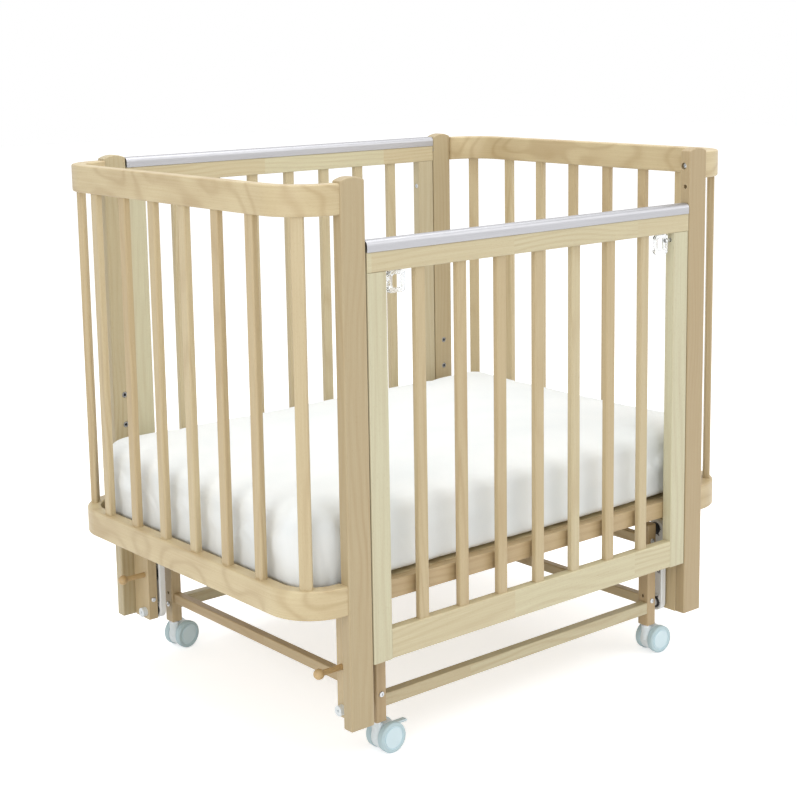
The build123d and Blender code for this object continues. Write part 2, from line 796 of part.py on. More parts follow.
def cross_rails():
    """Low and high side rails of the base, between the legs."""
    rails = []
    far = leg_outer_x - cross_rail_setback
    for sign_x in ends.values():
        for foot in (low_cross_rail_z, high_cross_rail_z):
            x = span(sign_x, far - cross_rail_thickness, far)
            rail = bar(x, (-leg_inner_y, leg_inner_y), (foot, foot + cross_rail_height), Axis.Y, base_arris)
            for sign_y in (-1, 1):
                hole = (sign_y * (leg_outer_y - base_screw_grip - 1), sign_y * (leg_inner_y + 1))
                spot = (sign_x * leg_mid_x, foot + cross_rail_height / 2)
                rail -= rod("Y", hole, spot, base_screw_bore_radius)
            rails.append(rail)
    return group(rails)


def base_screws():
    """Screws that hold the base together, with their heads on the legs."""
    screws = []
    for sign_x, sign_y in corners.values():
        seat = sign_x * leg_outer_x
        head_end = sign_x * (leg_outer_x + base_screw_head_height)
        tip = sign_x * (leg_outer_x - base_screw_grip)
        spot = (sign_y * leg_mid_y, long_screw_z)
        screws.append(screw("X", spot, seat, tip, head_end, base_screw_radius, base_screw_head_radius))
        seat = sign_y * leg_outer_y
        head_end = sign_y * (leg_outer_y + base_screw_head_height)
        tip = sign_y * (leg_outer_y - base_screw_grip)
        for z in cross_screw_levels:
            spot = (sign_x * leg_mid_x, z)
            screws.append(screw("Y", spot, seat, tip, head_end, base_screw_radius, base_screw_head_radius))
    return group(screws)


def caster_sockets():
    """Sleeves in the leg ends that the caster stems turn in."""
    ends_z = (leg_foot_z, leg_foot_z + caster_socket_length)
    bore = caster_stem_radius + caster_running_gap
    return group(
        [
            tube("Z", ends_z, (sign_x * leg_mid_x, sign_y * leg_mid_y), caster_socket_radius, bore)
            for sign_x, sign_y in corners.values()
        ]
    )


def at_caster(name, shape):
    """Moves a caster piece from its own swivel axis to its leg, turned as it stands."""
    sign_x, sign_y = corners[name]
    return Pos(sign_x * leg_mid_x, sign_y * leg_mid_y, 0) * Rotation(0, 0, caster_heading[name]) * shape


def caster_hood(name):
    """Hood between the two wheels, with the stem that turns in the leg."""
    across = (-caster_hood_half_width, caster_hood_half_width)
    seat = caster_top_z - caster_flange_height
    shoulder = wheel_radius + caster_boss_radius
    hood = rod("Y", across, (caster_trail, wheel_radius), caster_hood_radius)
    hood += rod("Z", (shoulder - caster_boss_radius, seat), (0, 0), caster_boss_radius)
    hood += slab((0, caster_trail), (-caster_boss_radius, caster_boss_radius), (wheel_radius, shoulder + 8))
    hood -= slab((-50, 60), (-40, 40), (-1, caster_floor_cut))
    hood -= rod("Y", (-40, 40), (caster_trail, wheel_radius), caster_axle_radius + pivot_running_gap)
    stem_ends = (seat - caster_stem_seat, leg_foot_z + caster_stem_length)
    hood -= rod("Z", (stem_ends[0], seat + 1), (0, 0), caster_stem_radius)
    if name in braked_casters:
        half = brake_half_width + brake_gap / 2
        hood -= slab((brake_pin_x - 5, 60), (-half, half), (brake_pin_z - 8, brake_pin_z + 12))
        pin_bore = brake_pin_radius + pivot_running_gap
        hood -= rod("Y", (-half - 3, half + 3), (brake_pin_x, brake_pin_z), pin_bore)
    stem = rod("Z", stem_ends, (0, 0), caster_stem_radius)
    stem += rod("Z", (seat, caster_top_z), (0, 0), caster_flange_radius)
    return at_caster(name, group([hood, stem]))


def caster_wheels(name):
    """Two wheels on one axle."""
    hub = (caster_trail, wheel_radius)
    axle_ends = (-wheel_axle_half, wheel_axle_half)
    pieces = [rod("Y", axle_ends, hub, caster_axle_radius)]
    for side in (-1, 1):
        outer = wheel_inner_y + wheel_width
        blank = rod("Y", span(side, wheel_inner_y, outer), hub, wheel_radius)
        wheel = fillet(blank.edges(), wheel_edge_radius)
        ring = span(side, outer - wheel_dish_depth, outer + 1)
        wheel -= tube("Y", ring, hub, wheel_dish_radius, wheel_cap_radius)
        wheel -= rod("Y", axle_ends, hub, caster_axle_radius)
        pieces.append(wheel)
    return at_caster(name, group(pieces))


def brake_pedal(name):
    """Small foot pedal between the wheels of a braked caster."""
    x = (brake_pin_x - brake_thickness / 2, brake_pin_x + brake_length)
    z = (brake_pin_z - brake_thickness / 2, brake_pin_z + brake_thickness / 2)
    plate = slab(x, (-brake_half_width, brake_half_width), z)
    plate = fillet(plate.edges().filter_by(Axis.Y), brake_thickness / 3)
    reach = brake_half_width + brake_gap / 2 + 2.5
    return at_caster(name, plate + rod("Y", (-reach, reach), (brake_pin_x, brake_pin_z), brake_pin_radius))


def build():
    """Every sub-part of the crib by name."""
    parts = {}
    for name, (sign_x, sign_y) in corners.items():
        parts[f"post_{name}"] = post(sign_x, sign_y)
        parts[f"swing_link_{name}"] = link_and_bushes(sign_x, sign_y)
        parts[f"locking_peg_{name}"] = peg(sign_x, sign_y)
        parts[f"caster_hood_{name}"] = caster_hood(name)
        parts[f"caster_wheels_{name}"] = caster_wheels(name)
    for name in braked_casters:
        parts[f"caster_brake_{name}"] = brake_pedal(name)
    for name, end in ends.items():
        parts[f"end_rail_top_{name}"] = bent_rail(end, top_rail_z)
        parts[f"end_rail_low_{name}"] = bent_rail(end, low_rail_z)
        parts[f"end_slats_{name}"] = end_slats(end)
        parts[f"drop_side_latch_{name}"] = latch(end)
    for name, sign_y, lift in (("drop_side", -1, 0.0), ("back_side", 1, side_travel)):
        parts[f"{name}_stiles"] = side_stiles(sign_y, lift)
        parts[f"{name}_top_rail"] = side_top_rail(sign_y, lift)
        parts[f"{name}_low_rail"] = side_low_rail(sign_y, lift)
        parts[f"{name}_slats"] = side_slats(sign_y, lift)
        parts[f"{name}_cap"] = side_cap(sign_y, lift)
    parts["end_rail_screws"] = rail_screws()
    parts["end_rail_inserts"] = rail_inserts()
    parts["bed_height_inserts"] = bed_height_inserts()
    parts["back_side_screws"] = back_side_screws()
    parts["drop_side_guide_pins"] = guide_pins()
    parts["bed_rails"] = bed_rails()
    parts["bed_battens"] = bed_battens()
    parts["bed_board"] = bed_board()
    parts["bed_screws"] = bed_screws()
    parts["mattress"] = mattress()
    parts["pendulum_blocks"] = pendulum_blocks()
    parts["pendulum_block_screws"] = block_screws()
    parts["high_pivots"] = high_pivots()
    parts["low_pivots"] = low_pivots()
    parts["base_legs"] = base_legs()
    parts["base_long_stretchers"] = long_stretchers()
    parts["base_cross_rails"] = cross_rails()
    parts["base_screws"] = base_screws()
    parts["caster_sockets"] = caster_sockets()
    return parts


os.makedirs("parts", exist_ok=True)
for part_name, shape in build().items():
    export_step(shape, f"parts/{part_name}.step")
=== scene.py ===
"""Finishes, mattress, small hardware, light and camera for the pendulum crib.

Lengths are in metres. X runs along the crib, the drop side faces -Y and the floor is at Z = 0.
"""

import logging
import math
from dataclasses import dataclass, field
from enum import Enum

import bmesh
import bpy
import numpy as np
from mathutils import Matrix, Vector, noise


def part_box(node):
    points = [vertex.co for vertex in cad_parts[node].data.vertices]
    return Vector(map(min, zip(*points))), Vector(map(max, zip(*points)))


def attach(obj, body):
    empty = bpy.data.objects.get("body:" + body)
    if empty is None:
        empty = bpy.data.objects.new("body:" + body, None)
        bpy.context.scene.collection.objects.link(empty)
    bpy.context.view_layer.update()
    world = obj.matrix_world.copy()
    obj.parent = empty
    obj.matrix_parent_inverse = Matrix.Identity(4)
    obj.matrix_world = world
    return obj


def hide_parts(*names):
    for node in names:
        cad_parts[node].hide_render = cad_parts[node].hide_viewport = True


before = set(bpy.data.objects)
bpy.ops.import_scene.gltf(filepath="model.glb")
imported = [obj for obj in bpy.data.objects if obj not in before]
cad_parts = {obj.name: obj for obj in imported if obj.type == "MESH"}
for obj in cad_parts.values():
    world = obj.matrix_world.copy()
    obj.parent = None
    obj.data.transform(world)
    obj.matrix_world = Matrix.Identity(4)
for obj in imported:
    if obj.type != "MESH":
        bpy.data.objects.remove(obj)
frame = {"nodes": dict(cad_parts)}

log = logging.getLogger("pendulum_crib")

Colour = tuple[float, float, float]
Triple = tuple[float, float, float]
Socket = bpy.types.NodeSocket
Node = bpy.types.Node
NodeTree = bpy.types.NodeTree
Material = bpy.types.Material
Mesh = bpy.types.Mesh
Piece = bpy.types.Object

MM = 0.001
FULL_TURN = 2 * math.pi
MIDDLE = (0.5, 0.5, 0.5)
WHITE = (1.0, 1.0, 1.0)
BEND_CENTRE = (0.411, 0.2675)
BEND_RADIUS = 0.08
FACE_SLACK = 1e-4


class Grain(Enum):
    """Which way the wood fibres run in a piece."""

    ALONG_X = "x"
    ALONG_Y = "y"
    ALONG_Z = "z"
    BENT = "bent"


class Figure(Enum):
    """What the face of the wood shows."""

    RINGS = "rings"
    SWIRL = "swirl"


def linear(red: int, green: int, blue: int) -> Colour:
    """Turns a screen colour into the linear one that a shader takes.

    Args:
        red: Red from 0 to 255.
        green: Green from 0 to 255.
        blue: Blue from 0 to 255.

    Returns:
        The linear colour, each part from 0 to 1.
    """
    parts = [value / 255 for value in (red, green, blue)]
    return tuple(v / 12.92 if v <= 0.04045 else ((v + 0.055) / 1.055) ** 2.4 for v in parts)


def place_piece(name: str, data: object) -> Piece:
    """Puts a new object with this data in the scene."""
    piece = bpy.data.objects.new(name, data)
    bpy.context.scene.collection.objects.link(piece)
    return piece


def apply_modifiers(piece: Piece) -> None:
    """Turns the piece's modifiers into plain mesh."""
    graph = bpy.context.evaluated_depsgraph_get()
    solid = bpy.data.meshes.new_from_object(piece.evaluated_get(graph))
    piece.modifiers.clear()
    piece.data = solid


class NodeBench:
    """Adds nodes to one tree and joins them."""

    def __init__(self, tree: NodeTree) -> None:
        """Takes the tree to work on."""
        self.tree = tree
        self.count = 0

    def add(self, kind: str, **settings: object) -> Node:
        """Adds a node.

        Args:
            kind: The node's type name.
            settings: Properties to set on the node.

        Returns:
            The new node.
        """
        node = self.tree.nodes.new(kind)
        node.location = (190 * (self.count % 12), -240 * (self.count // 12))
        self.count += 1
        for name, value in settings.items():
            setattr(node, name, value)
        return node

    def feed(self, socket: Socket, value: object) -> None:
        """Gives an input a value, or joins it to an output.

        Args:
            socket: The input.
            value: A plain value, or another node's output.
        """
        if isinstance(value, Socket):
            self.tree.links.new(value, socket)
        elif isinstance(value, tuple) and len(value) == 3 and socket.type == "RGBA":
            socket.default_value = (*value, 1.0)
        else:
            socket.default_value = value

    def fill(self, node: Node, **values: object) -> Node:
        """Feeds a node's inputs by name, with _ for each space."""
        for name, value in values.items():
            self.feed(node.inputs[name.replace("_", " ")], value)
        return node

    def math(self, operation: str, *values: object, clamp: bool = False) -> Socket:
        """Adds a Math node and returns its result."""
        node = self.add("ShaderNodeMath", operation=operation, use_clamp=clamp)
        for socket, value in zip(node.inputs, values):
            self.feed(socket, value)
        return node.outputs[0]

    def vector(self, operation: str, *values: object) -> Socket:
        """Adds a Vector Math node and returns its result."""
        node = self.add("ShaderNodeVectorMath", operation=operation)
        for socket, value in zip(node.inputs, values):
            self.feed(socket, value)
        plain = operation in ("LENGTH", "DOT_PRODUCT", "DISTANCE")
        return node.outputs["Value" if plain else "Vector"]

    def parts(self, vector: object) -> tuple[Socket, ...]:
        """Splits a vector into its three numbers."""
        node = self.add("ShaderNodeSeparateXYZ")
        self.feed(node.inputs[0], vector)
        return tuple(node.outputs)

    def join(self, x: object, y: object, z: object) -> Socket:
        """Makes a vector of three numbers."""
        node = self.add("ShaderNodeCombineXYZ")
        for socket, value in zip(node.inputs, (x, y, z)):
            self.feed(socket, value)
        return node.outputs[0]

    def cloud(
        self, place: object, scale: Triple, detail: float = 2.0, colour: bool = False
    ) -> Socket:
        """Smooth noise over a place.

        Args:
            place: The vector to read.
            scale: How many waves per metre along each axis.
            detail: How many finer layers are added.
            colour: Whether to return the three-part result.

        Returns:
            The noise, about 0.5 on average.
        """
        node = self.add("ShaderNodeTexNoise")
        self.fill(node, Vector=self.vector("MULTIPLY", place, scale), Scale=1.0, Detail=detail)
        return node.outputs["Color" if colour else 0]

    def span(
        self, value: object, low: float, high: float, out_low: float = 0.0, out_high: float = 1.0
    ) -> Socket:
        """Stretches a value from one range to another, and stops it there."""
        node = self.add("ShaderNodeMapRange")
        self.fill(node, Value=value, From_Min=low, From_Max=high, To_Min=out_low, To_Max=out_high)
        return node.outputs[0]

    def mix(self, share: object, first: object, second: object, blend: str = "MIX") -> Socket:
        """Mixes two colours.

        Args:
            share: How much of the second colour, from 0 to 1.
            first: The first colour.
            second: The second colour.
            blend: How the second is laid over the first.

        Returns:
            The mixed colour.
        """
        node = self.add("ShaderNodeMix", data_type="RGBA", blend_type=blend)
        self.feed(node.inputs[0], share)
        self.feed(node.inputs[6], first)
        self.feed(node.inputs[7], second)
        return node.outputs[2]

    def tint(self, colour: object, share: object, amount: float, other: object) -> Socket:
        """Mixes another colour into one, by a share times an amount."""
        return self.mix(self.math("MULTIPLY", share, amount), colour, other)

    def group(self, tree: NodeTree, **values: object) -> Node:
        """Places a node group.

        Args:
            tree: The group's tree.
            values: Its inputs by name, with _ for each space.

        Returns:
            The group node.
        """
        node = self.add("ShaderNodeGroup")
        node.node_tree = tree
        return self.fill(node, **values)


class Effects:
    """Shader node groups that several finishes use, each built once."""

    def __init__(self) -> None:
        """Builds every group."""
        self.stick_tone = self._stick_tone()
        self.grain_rings = self._grain_rings()
        self.veneer_swirl = self._veneer_swirl()
        self.bend_place = self._bend_place()
        self.fine_speck = self._fine_speck()
        # Mask for a painted highlight along rounded edges.
        self.arris_highlight = self._arris_highlight()
        self.cloth_weave = self._cloth_weave()

    def _start(self, name: str, inputs: dict[str, str], outputs: dict[str, str]) -> tuple:
        """Makes an empty group.

        Args:
            name: The group's name.
            inputs: Each input's name and kind.
            outputs: Each output's name and kind.

        Returns:
            The tree, its bench, what comes in and what goes out.
        """
        tree = bpy.data.node_groups.new(name, "ShaderNodeTree")
        for label, kind in inputs.items():
            tree.interface.new_socket(label, in_out="INPUT", socket_type="NodeSocket" + kind)
        for label, kind in outputs.items():
            tree.interface.new_socket(label, in_out="OUTPUT", socket_type="NodeSocket" + kind)
        bench = NodeBench(tree)
        return tree, bench, bench.add("NodeGroupInput").outputs, bench.add("NodeGroupOutput").inputs

    def _stick_tone(self) -> NodeTree:
        """A number and a place of its own for each stick, from the cell that it stands in."""
        tree, bench, source, result = self._start(
            "stick_tone",
            {"Place": "Vector", "Cell": "Vector", "Shift": "Vector", "Batch": "Vector"},
            {"Tone": "Float", "Own Place": "Vector"},
        )
        cell = bench.vector("DIVIDE", source["Place"], source["Cell"])
        cell = bench.vector("FLOOR", bench.vector("ADD", cell, source["Shift"]))
        white = bench.add("ShaderNodeTexWhiteNoise", noise_dimensions="3D")
        bench.feed(white.inputs["Vector"], bench.vector("ADD", cell, source["Batch"]))
        bench.feed(result["Tone"], white.outputs["Value"])
        bench.feed(result["Own Place"], white.outputs["Color"])
        return tree

    def _grain_rings(self) -> NodeTree:
        """Growth rings, fine streaks and the short dark flecks of a sawn face."""
        tree, bench, source, result = self._start(
            "grain_rings",
            {"Place": "Vector", "Own Place": "Vector", "Ring Width": "Float"},
            {"Rings": "Float", "Streaks": "Float", "Flecks": "Float"},
        )
        own = bench.vector("MULTIPLY", source["Own Place"], (3.1, 2.7, 5.3))
        place = bench.vector("ADD", source["Place"], own)
        warp = bench.cloud(place, (9.0, 9.0, 2.6), 1.5, colour=True)
        warp = bench.vector("MULTIPLY", bench.vector("SUBTRACT", warp, MIDDLE), (0.05, 0.05, 0.0))
        heart = bench.vector("SUBTRACT", source["Own Place"], MIDDLE)
        heart = bench.vector("MULTIPLY", heart, (0.22, 0.22, 0.0))
        flat = bench.vector("MULTIPLY", source["Place"], (1.0, 1.0, 0.0))
        radius = bench.vector("LENGTH", bench.vector("ADD", bench.vector("ADD", flat, heart), warp))
        turns = bench.math("DIVIDE", radius, source["Ring Width"])
        wave = bench.math("SINE", bench.math("MULTIPLY", turns, FULL_TURN))
        wave = bench.math("POWER", bench.math("MULTIPLY_ADD", wave, 0.5, 0.5), 2.2)
        patch = bench.span(bench.cloud(place, (14.0, 14.0, 3.0), 2.0), 0.35, 0.7)
        bench.feed(result["Rings"], bench.math("MULTIPLY", wave, patch))
        bench.feed(result["Streaks"], bench.cloud(place, (620.0, 620.0, 9.0), 3.0))
        flecks = bench.cloud(place, (1700.0, 1700.0, 240.0), 1.0)
        bench.feed(result["Flecks"], bench.span(flecks, 0.62, 0.74))
        return tree

    def _veneer_swirl(self) -> NodeTree:
        """The wandering figure of a peeled face: level lines of a slow noise."""
        tree, bench, source, result = self._start(
            "veneer_swirl",
            {"Place": "Vector", "Own Place": "Vector", "Lines": "Float"},
            {"Swirl": "Float", "Cloud": "Float"},
        )
        own = bench.vector("MULTIPLY", source["Own Place"], (1.7, 2.9, 4.1))
        place = bench.vector("ADD", source["Place"], own)
        slow = bench.cloud(place, (2.0, 9.0, 5.5), 1.2)
        line = bench.math("MULTIPLY", bench.math("MULTIPLY", slow, source["Lines"]), FULL_TURN)
        line = bench.math("POWER", bench.math("MULTIPLY_ADD", bench.math("SINE", line), 0.5, 0.5), 3.0)
        bench.feed(result["Swirl"], line)
        cloud = bench.cloud(place, (5.0, 13.0, 8.0), 2.0)
        bench.feed(result["Cloud"], bench.span(cloud, 0.3, 0.7))
        return tree

    def _bend_place(self) -> NodeTree:
        """Depth, height and distance along a rail that is bent round one end of the crib."""
        tree, bench, source, result = self._start(
            "bend_place",
            {"Place": "Vector", "Corner X": "Float", "Corner Y": "Float", "Bend": "Float"},
            {"Bent Place": "Vector"},
        )
        x, y, z = bench.parts(source["Place"])
        corner_x, corner_y, bend = source["Corner X"], source["Corner Y"], source["Bend"]
        side_x, side_y = bench.math("ABSOLUTE", x), bench.math("ABSOLUTE", y)
        over_x = bench.math("MAXIMUM", bench.math("SUBTRACT", side_x, corner_x), 0.0)
        over_y = bench.math("MAXIMUM", bench.math("SUBTRACT", side_y, corner_y), 0.0)
        reach = bench.vector("LENGTH", bench.join(over_x, over_y, 0.0))
        depth = bench.math("SUBTRACT", bend, reach)
        turn = bench.math("ARCTAN2", over_y, bench.math("MAXIMUM", over_x, 1e-5))
        along = bench.math("MULTIPLY", turn, bend)
        along = bench.math("ADD", along, bench.math("MINIMUM", side_y, corner_y))
        rest = bench.math("SUBTRACT", corner_x, bench.math("MINIMUM", side_x, corner_x))
        along = bench.math("MULTIPLY", bench.math("ADD", along, rest), bench.math("SIGN", y))
        along = bench.math("ADD", along, bench.math("MULTIPLY", bench.math("SIGN", x), 3.0))
        bench.feed(result["Bent Place"], bench.join(depth, z, along))
        return tree

    def _fine_speck(self) -> NodeTree:
        """Fine specks and slow clouds for moulded and metal surfaces."""
        tree, bench, source, result = self._start(
            "fine_speck",
            {"Place": "Vector", "Grit": "Float"},
            {"Speck": "Float", "Cloud": "Float"},
        )
        scaled = bench.vector("MULTIPLY", source["Place"], bench.join(*[source["Grit"]] * 3))
        bench.feed(result["Speck"], bench.cloud(scaled, (1.0, 1.0, 1.0), 2.0))
        cloud = bench.cloud(source["Place"], (35.0, 35.0, 35.0), 3.0)
        bench.feed(result["Cloud"], bench.span(cloud, 0.3, 0.7))
        return tree

    def _arris_highlight(self) -> NodeTree:
        """Where an edge catches the light, from how far a rounded normal turns from the true one; this masks
        a painted highlight.
        """
        tree, bench, source, result = self._start("arris_highlight", {"Width": "Float"}, {"Highlight": "Float"})
        bevel = bench.add("ShaderNodeBevel", samples=3)
        bench.feed(bevel.inputs["Radius"], source["Width"])
        true = bench.add("ShaderNodeNewGeometry").outputs["Normal"]
        lean = bench.vector("DOT_PRODUCT", bevel.outputs[0], true)
        bench.feed(result["Highlight"], bench.span(bench.math("SUBTRACT", 1.0, lean), 0.02, 0.25))
        return tree

    def _cloth_weave(self) -> NodeTree:
        """Plain weave laid over a piece from three sides, with slow creases."""
        tree, bench, source, result = self._start(
            "cloth_weave",
            {"Place": "Vector", "Thread": "Float"},
            {"Weave": "Float", "Slub": "Float"},
        )
        waves = bench.vector("MULTIPLY", source["Place"], bench.join(*[source["Thread"]] * 3))
        sines = [bench.math("SINE", part) for part in bench.parts(waves)]
        normal = bench.add("ShaderNodeNewGeometry").outputs["Normal"]
        faces = bench.parts(bench.vector("ABSOLUTE", normal))
        total = 0.0
        for face, (first, second) in zip(faces, ((1, 2), (0, 2), (0, 1))):
            cross = bench.math("MULTIPLY", sines[first], sines[second])
            total = bench.math("MULTIPLY_ADD", cross, bench.math("POWER", face, 3.0), total)
        bench.feed(result["Weave"], bench.math("MULTIPLY_ADD", total, 0.5, 0.5))
        bench.feed(result["Slub"], bench.cloud(source["Place"], (240.0, 90.0, 160.0), 2.0))
        return tree


@dataclass(frozen=True)
class Finish:
    """What every finish has: a name and its principled shader's plain numbers."""

    name: str

    def start(self) -> tuple[Material, NodeBench, Node, Socket]:
        """Makes an empty material.

        Returns:
            The material, its bench, its principled shader and the object's own coordinates.
        """
        material = bpy.data.materials.new(self.name)
        material.use_nodes = True
        material.node_tree.nodes.clear()
        bench = NodeBench(material.node_tree)
        shader = bench.add("ShaderNodeBsdfPrincipled")
        output = bench.add("ShaderNodeOutputMaterial")
        material.node_tree.links.new(shader.outputs[0], output.inputs["Surface"])
        place = bench.add("ShaderNodeTexCoord").outputs["Object"]
        return material, bench, shader, place

    def bump(
        self, bench: NodeBench, shader: Node, height: object, depth: float, strength: float
    ) -> None:
        """Lays a fine relief on the shader.

        Args:
            bench: The material's bench.
            shader: The principled shader.
            height: The relief, from 0 to 1.
            depth: Its depth in metres.
            strength: How strongly it shows.
        """
        node = bench.fill(bench.add("ShaderNodeBump"), Strength=strength, Distance=depth, Height=height)
        bench.fill(shader, Normal=node.outputs[0])


@dataclass(frozen=True)
class Timber(Finish):
    """Lacquered pale hardwood."""

    grain: Grain = Grain.ALONG_Z
    batch: int = 0
    figure: Figure = Figure.RINGS
    pale: Colour = linear(198, 185, 150)
    blush: Colour = linear(186, 165, 126)
    deep: Colour = linear(156, 126, 84)
    cell: Triple = (10.0, 10.0, 10.0)
    shift: Triple = (0.0, 0.0, 0.0)
    ring_width: float = 0.0075
    ring_depth: float = 0.34

    def build(self, effects: Effects) -> Material:
        """Makes the material.

        Args:
            effects: The shared shader groups.

        Returns:
            The finished material.
        """
        material, bench, shader, place = self.start()
        x, y, z = bench.parts(place)
        if self.grain is Grain.BENT:
            corner_x, corner_y = BEND_CENTRE
            bent = bench.group(effects.bend_place, Place=place, Corner_X=corner_x, Corner_Y=corner_y)
            fibres = bench.fill(bent, Bend=BEND_RADIUS).outputs[0]
        elif self.grain is Grain.ALONG_X:
            fibres = bench.join(y, z, x)
        elif self.grain is Grain.ALONG_Y:
            fibres = bench.join(z, x, y)
        else:
            fibres = bench.join(x, y, z)
        batch = (float(self.batch), 0.5 * self.batch, 2.0)
        stick = bench.group(effects.stick_tone, Cell=self.cell, Shift=self.shift, Batch=batch)
        bench.fill(stick, Place=fibres if self.grain is Grain.BENT else place)
        tone, own = stick.outputs["Tone"], stick.outputs["Own Place"]
        wood = bench.group(effects.grain_rings, Place=fibres, Own_Place=own, Ring_Width=self.ring_width)
        colour = bench.mix(bench.span(tone, 0.0, 1.0, 0.0, 0.85), self.pale, self.blush)
        figure = wood.outputs["Rings"]
        if self.figure is Figure.SWIRL:
            peeled = bench.group(effects.veneer_swirl, Place=fibres, Own_Place=own, Lines=9.0)
            figure = peeled.outputs["Swirl"]
            colour = bench.tint(colour, peeled.outputs["Cloud"], 0.35, self.deep)
        colour = bench.tint(colour, figure, self.ring_depth, self.deep)
        streak = bench.span(wood.outputs["Streaks"], 0.3, 0.75)
        colour = bench.tint(colour, streak, 0.2, self.deep)
        colour = bench.tint(colour, wood.outputs["Flecks"], 0.3, self.deep)
        # Rounded edges are painted paler here, a painted highlight along the arrises.
        edge_highlight = bench.group(effects.arris_highlight, Width=2.5 * MM).outputs[0]
        colour = bench.tint(colour, edge_highlight, 0.25, linear(222, 213, 184))
        rough = bench.span(streak, 0.0, 1.0, 0.40, 0.55)
        bench.fill(shader, Base_Color=colour, Roughness=rough, Coat_Weight=0.12, Coat_Roughness=0.3)
        relief = bench.math("SUBTRACT", streak, bench.math("MULTIPLY", wood.outputs["Flecks"], 0.7))
        self.bump(bench, shader, relief, 0.00012, 0.35)
        return material


@dataclass(frozen=True)
class LayeredBoard(Finish):
    """Peeled plywood, with its layers along the cut edges."""

    foot: float = 0.28
    layer: float = 0.0016
    sheet: Triple = (0.4, 0.2, 0.7)

    def build(self, effects: Effects) -> Material:
        """Makes the material from the shared shader groups."""
        material, bench, shader, place = self.start()
        x, y, z = bench.parts(place)
        fibres = bench.join(y, z, x)
        peeled = bench.group(effects.veneer_swirl, Place=fibres, Own_Place=self.sheet, Lines=8.0)
        wood = bench.group(effects.grain_rings, Place=fibres, Own_Place=self.sheet, Ring_Width=10 * MM)
        colour = bench.tint(linear(204, 188, 150), peeled.outputs["Swirl"], 0.4, linear(166, 134, 92))
        colour = bench.tint(colour, peeled.outputs["Cloud"], 0.3, linear(188, 162, 120))
        level = bench.math("DIVIDE", bench.math("SUBTRACT", z, self.foot), self.layer)
        pair = bench.math("FRACT", bench.math("MULTIPLY", level, 0.5))
        dark_layer = bench.math("GREATER_THAN", pair, 0.5)
        normal = bench.add("ShaderNodeNewGeometry").outputs["Normal"]
        upright = bench.math("SUBTRACT", 1.0, bench.math("ABSOLUTE", bench.parts(normal)[2]), clamp=True)
        dark_edge = bench.math("MULTIPLY", dark_layer, upright)
        colour = bench.tint(colour, dark_edge, 0.5, linear(150, 112, 72))
        rough = bench.span(wood.outputs["Streaks"], 0.3, 0.7, 0.5, 0.65)
        bench.fill(shader, Base_Color=colour, Roughness=rough)
        self.bump(bench, shader, wood.outputs["Streaks"], 0.0001, 0.3)
        return material


@dataclass(frozen=True)
class Metal(Finish):
    """Metal with a fine grain, light handling marks and a painted highlight along its edges."""

    colour: Colour = (0.6, 0.6, 0.62)
    roughness: float = 0.35
    brush: Triple = (400.0, 400.0, 400.0)
    relief: float = 0.00002
    # Paler colour painted along the edges as a highlight.
    edge_highlight_colour: Colour = (0.8, 0.8, 0.8)

    def build(self, effects: Effects) -> Material:
        """Makes the material from the shared shader groups."""
        material, bench, shader, place = self.start()
        lines = bench.cloud(place, self.brush, 2.0)
        speck = bench.group(effects.fine_speck, Place=place, Grit=900.0)
        tint = tuple(part * 0.86 for part in self.colour)
        colour = bench.mix(bench.span(lines, 0.3, 0.7), tint, self.colour)
        # Edges painted paler, a painted highlight along them.
        edge_highlight = bench.group(effects.arris_highlight, Width=0.8 * MM).outputs[0]
        colour = bench.tint(colour, edge_highlight, 0.5, self.edge_highlight_colour)
        rough = bench.math("MULTIPLY_ADD", lines, 0.16, self.roughness - 0.08)
        rough = bench.math("MULTIPLY_ADD", speck.outputs["Cloud"], 0.06, rough)
        bench.fill(shader, Base_Color=colour, Metallic=1.0, Roughness=rough)
        self.bump(bench, shader, lines, self.relief, 0.4)
        return material


@dataclass(frozen=True)
class Moulded(Finish):
    """Moulded plastic or rubber."""

    colour: Colour = (0.8, 0.8, 0.8)
    shade: Colour = (0.7, 0.7, 0.7)
    roughness: float = 0.4
    grit: float = 1500.0
    scatter: float = 0.0

    def build(self, effects: Effects) -> Material:
        """Makes the material from the shared shader groups."""
        material, bench, shader, place = self.start()
        speck = bench.group(effects.fine_speck, Place=place, Grit=self.grit)
        colour = bench.tint(self.colour, speck.outputs["Cloud"], 0.5, self.shade)
        # Edges painted lighter here, a painted highlight along them.
        edge_highlight = bench.group(effects.arris_highlight, Width=0.8 * MM).outputs[0]
        light = tuple(min(1.0, part * 1.12 + 0.02) for part in self.colour)
        colour = bench.tint(colour, edge_highlight, 0.4, light)
        rough = bench.math("MULTIPLY_ADD", speck.outputs["Cloud"], 0.1, self.roughness - 0.05)
        bench.fill(shader, Base_Color=colour, Roughness=rough)
        if self.scatter:
            bench.fill(shader, Subsurface_Weight=self.scatter, Subsurface_Scale=1.0)
            bench.fill(shader, Subsurface_Radius=(0.004, 0.004, 0.004))
        self.bump(bench, shader, speck.outputs["Speck"], 0.00003, 0.35)
        return material


@dataclass(frozen=True)
class ClearPlastic(Finish):
    """Clear moulded plastic with faint flow marks."""

    tint: Colour = (0.93, 0.96, 0.98)

    def build(self, effects: Effects) -> Material:
        """Makes the material from the shared shader groups."""
        material, bench, shader, place = self.start()
        speck = bench.group(effects.fine_speck, Place=place, Grit=260.0)
        haze = bench.mix(speck.outputs["Cloud"], self.tint, WHITE)
        rough = bench.span(speck.outputs["Cloud"], 0.0, 1.0, 0.03, 0.1)
        bench.fill(shader, Base_Color=haze, Roughness=rough, IOR=1.49, Transmission_Weight=0.84)
        self.bump(bench, shader, speck.outputs["Speck"], 0.00015, 0.3)
        return material


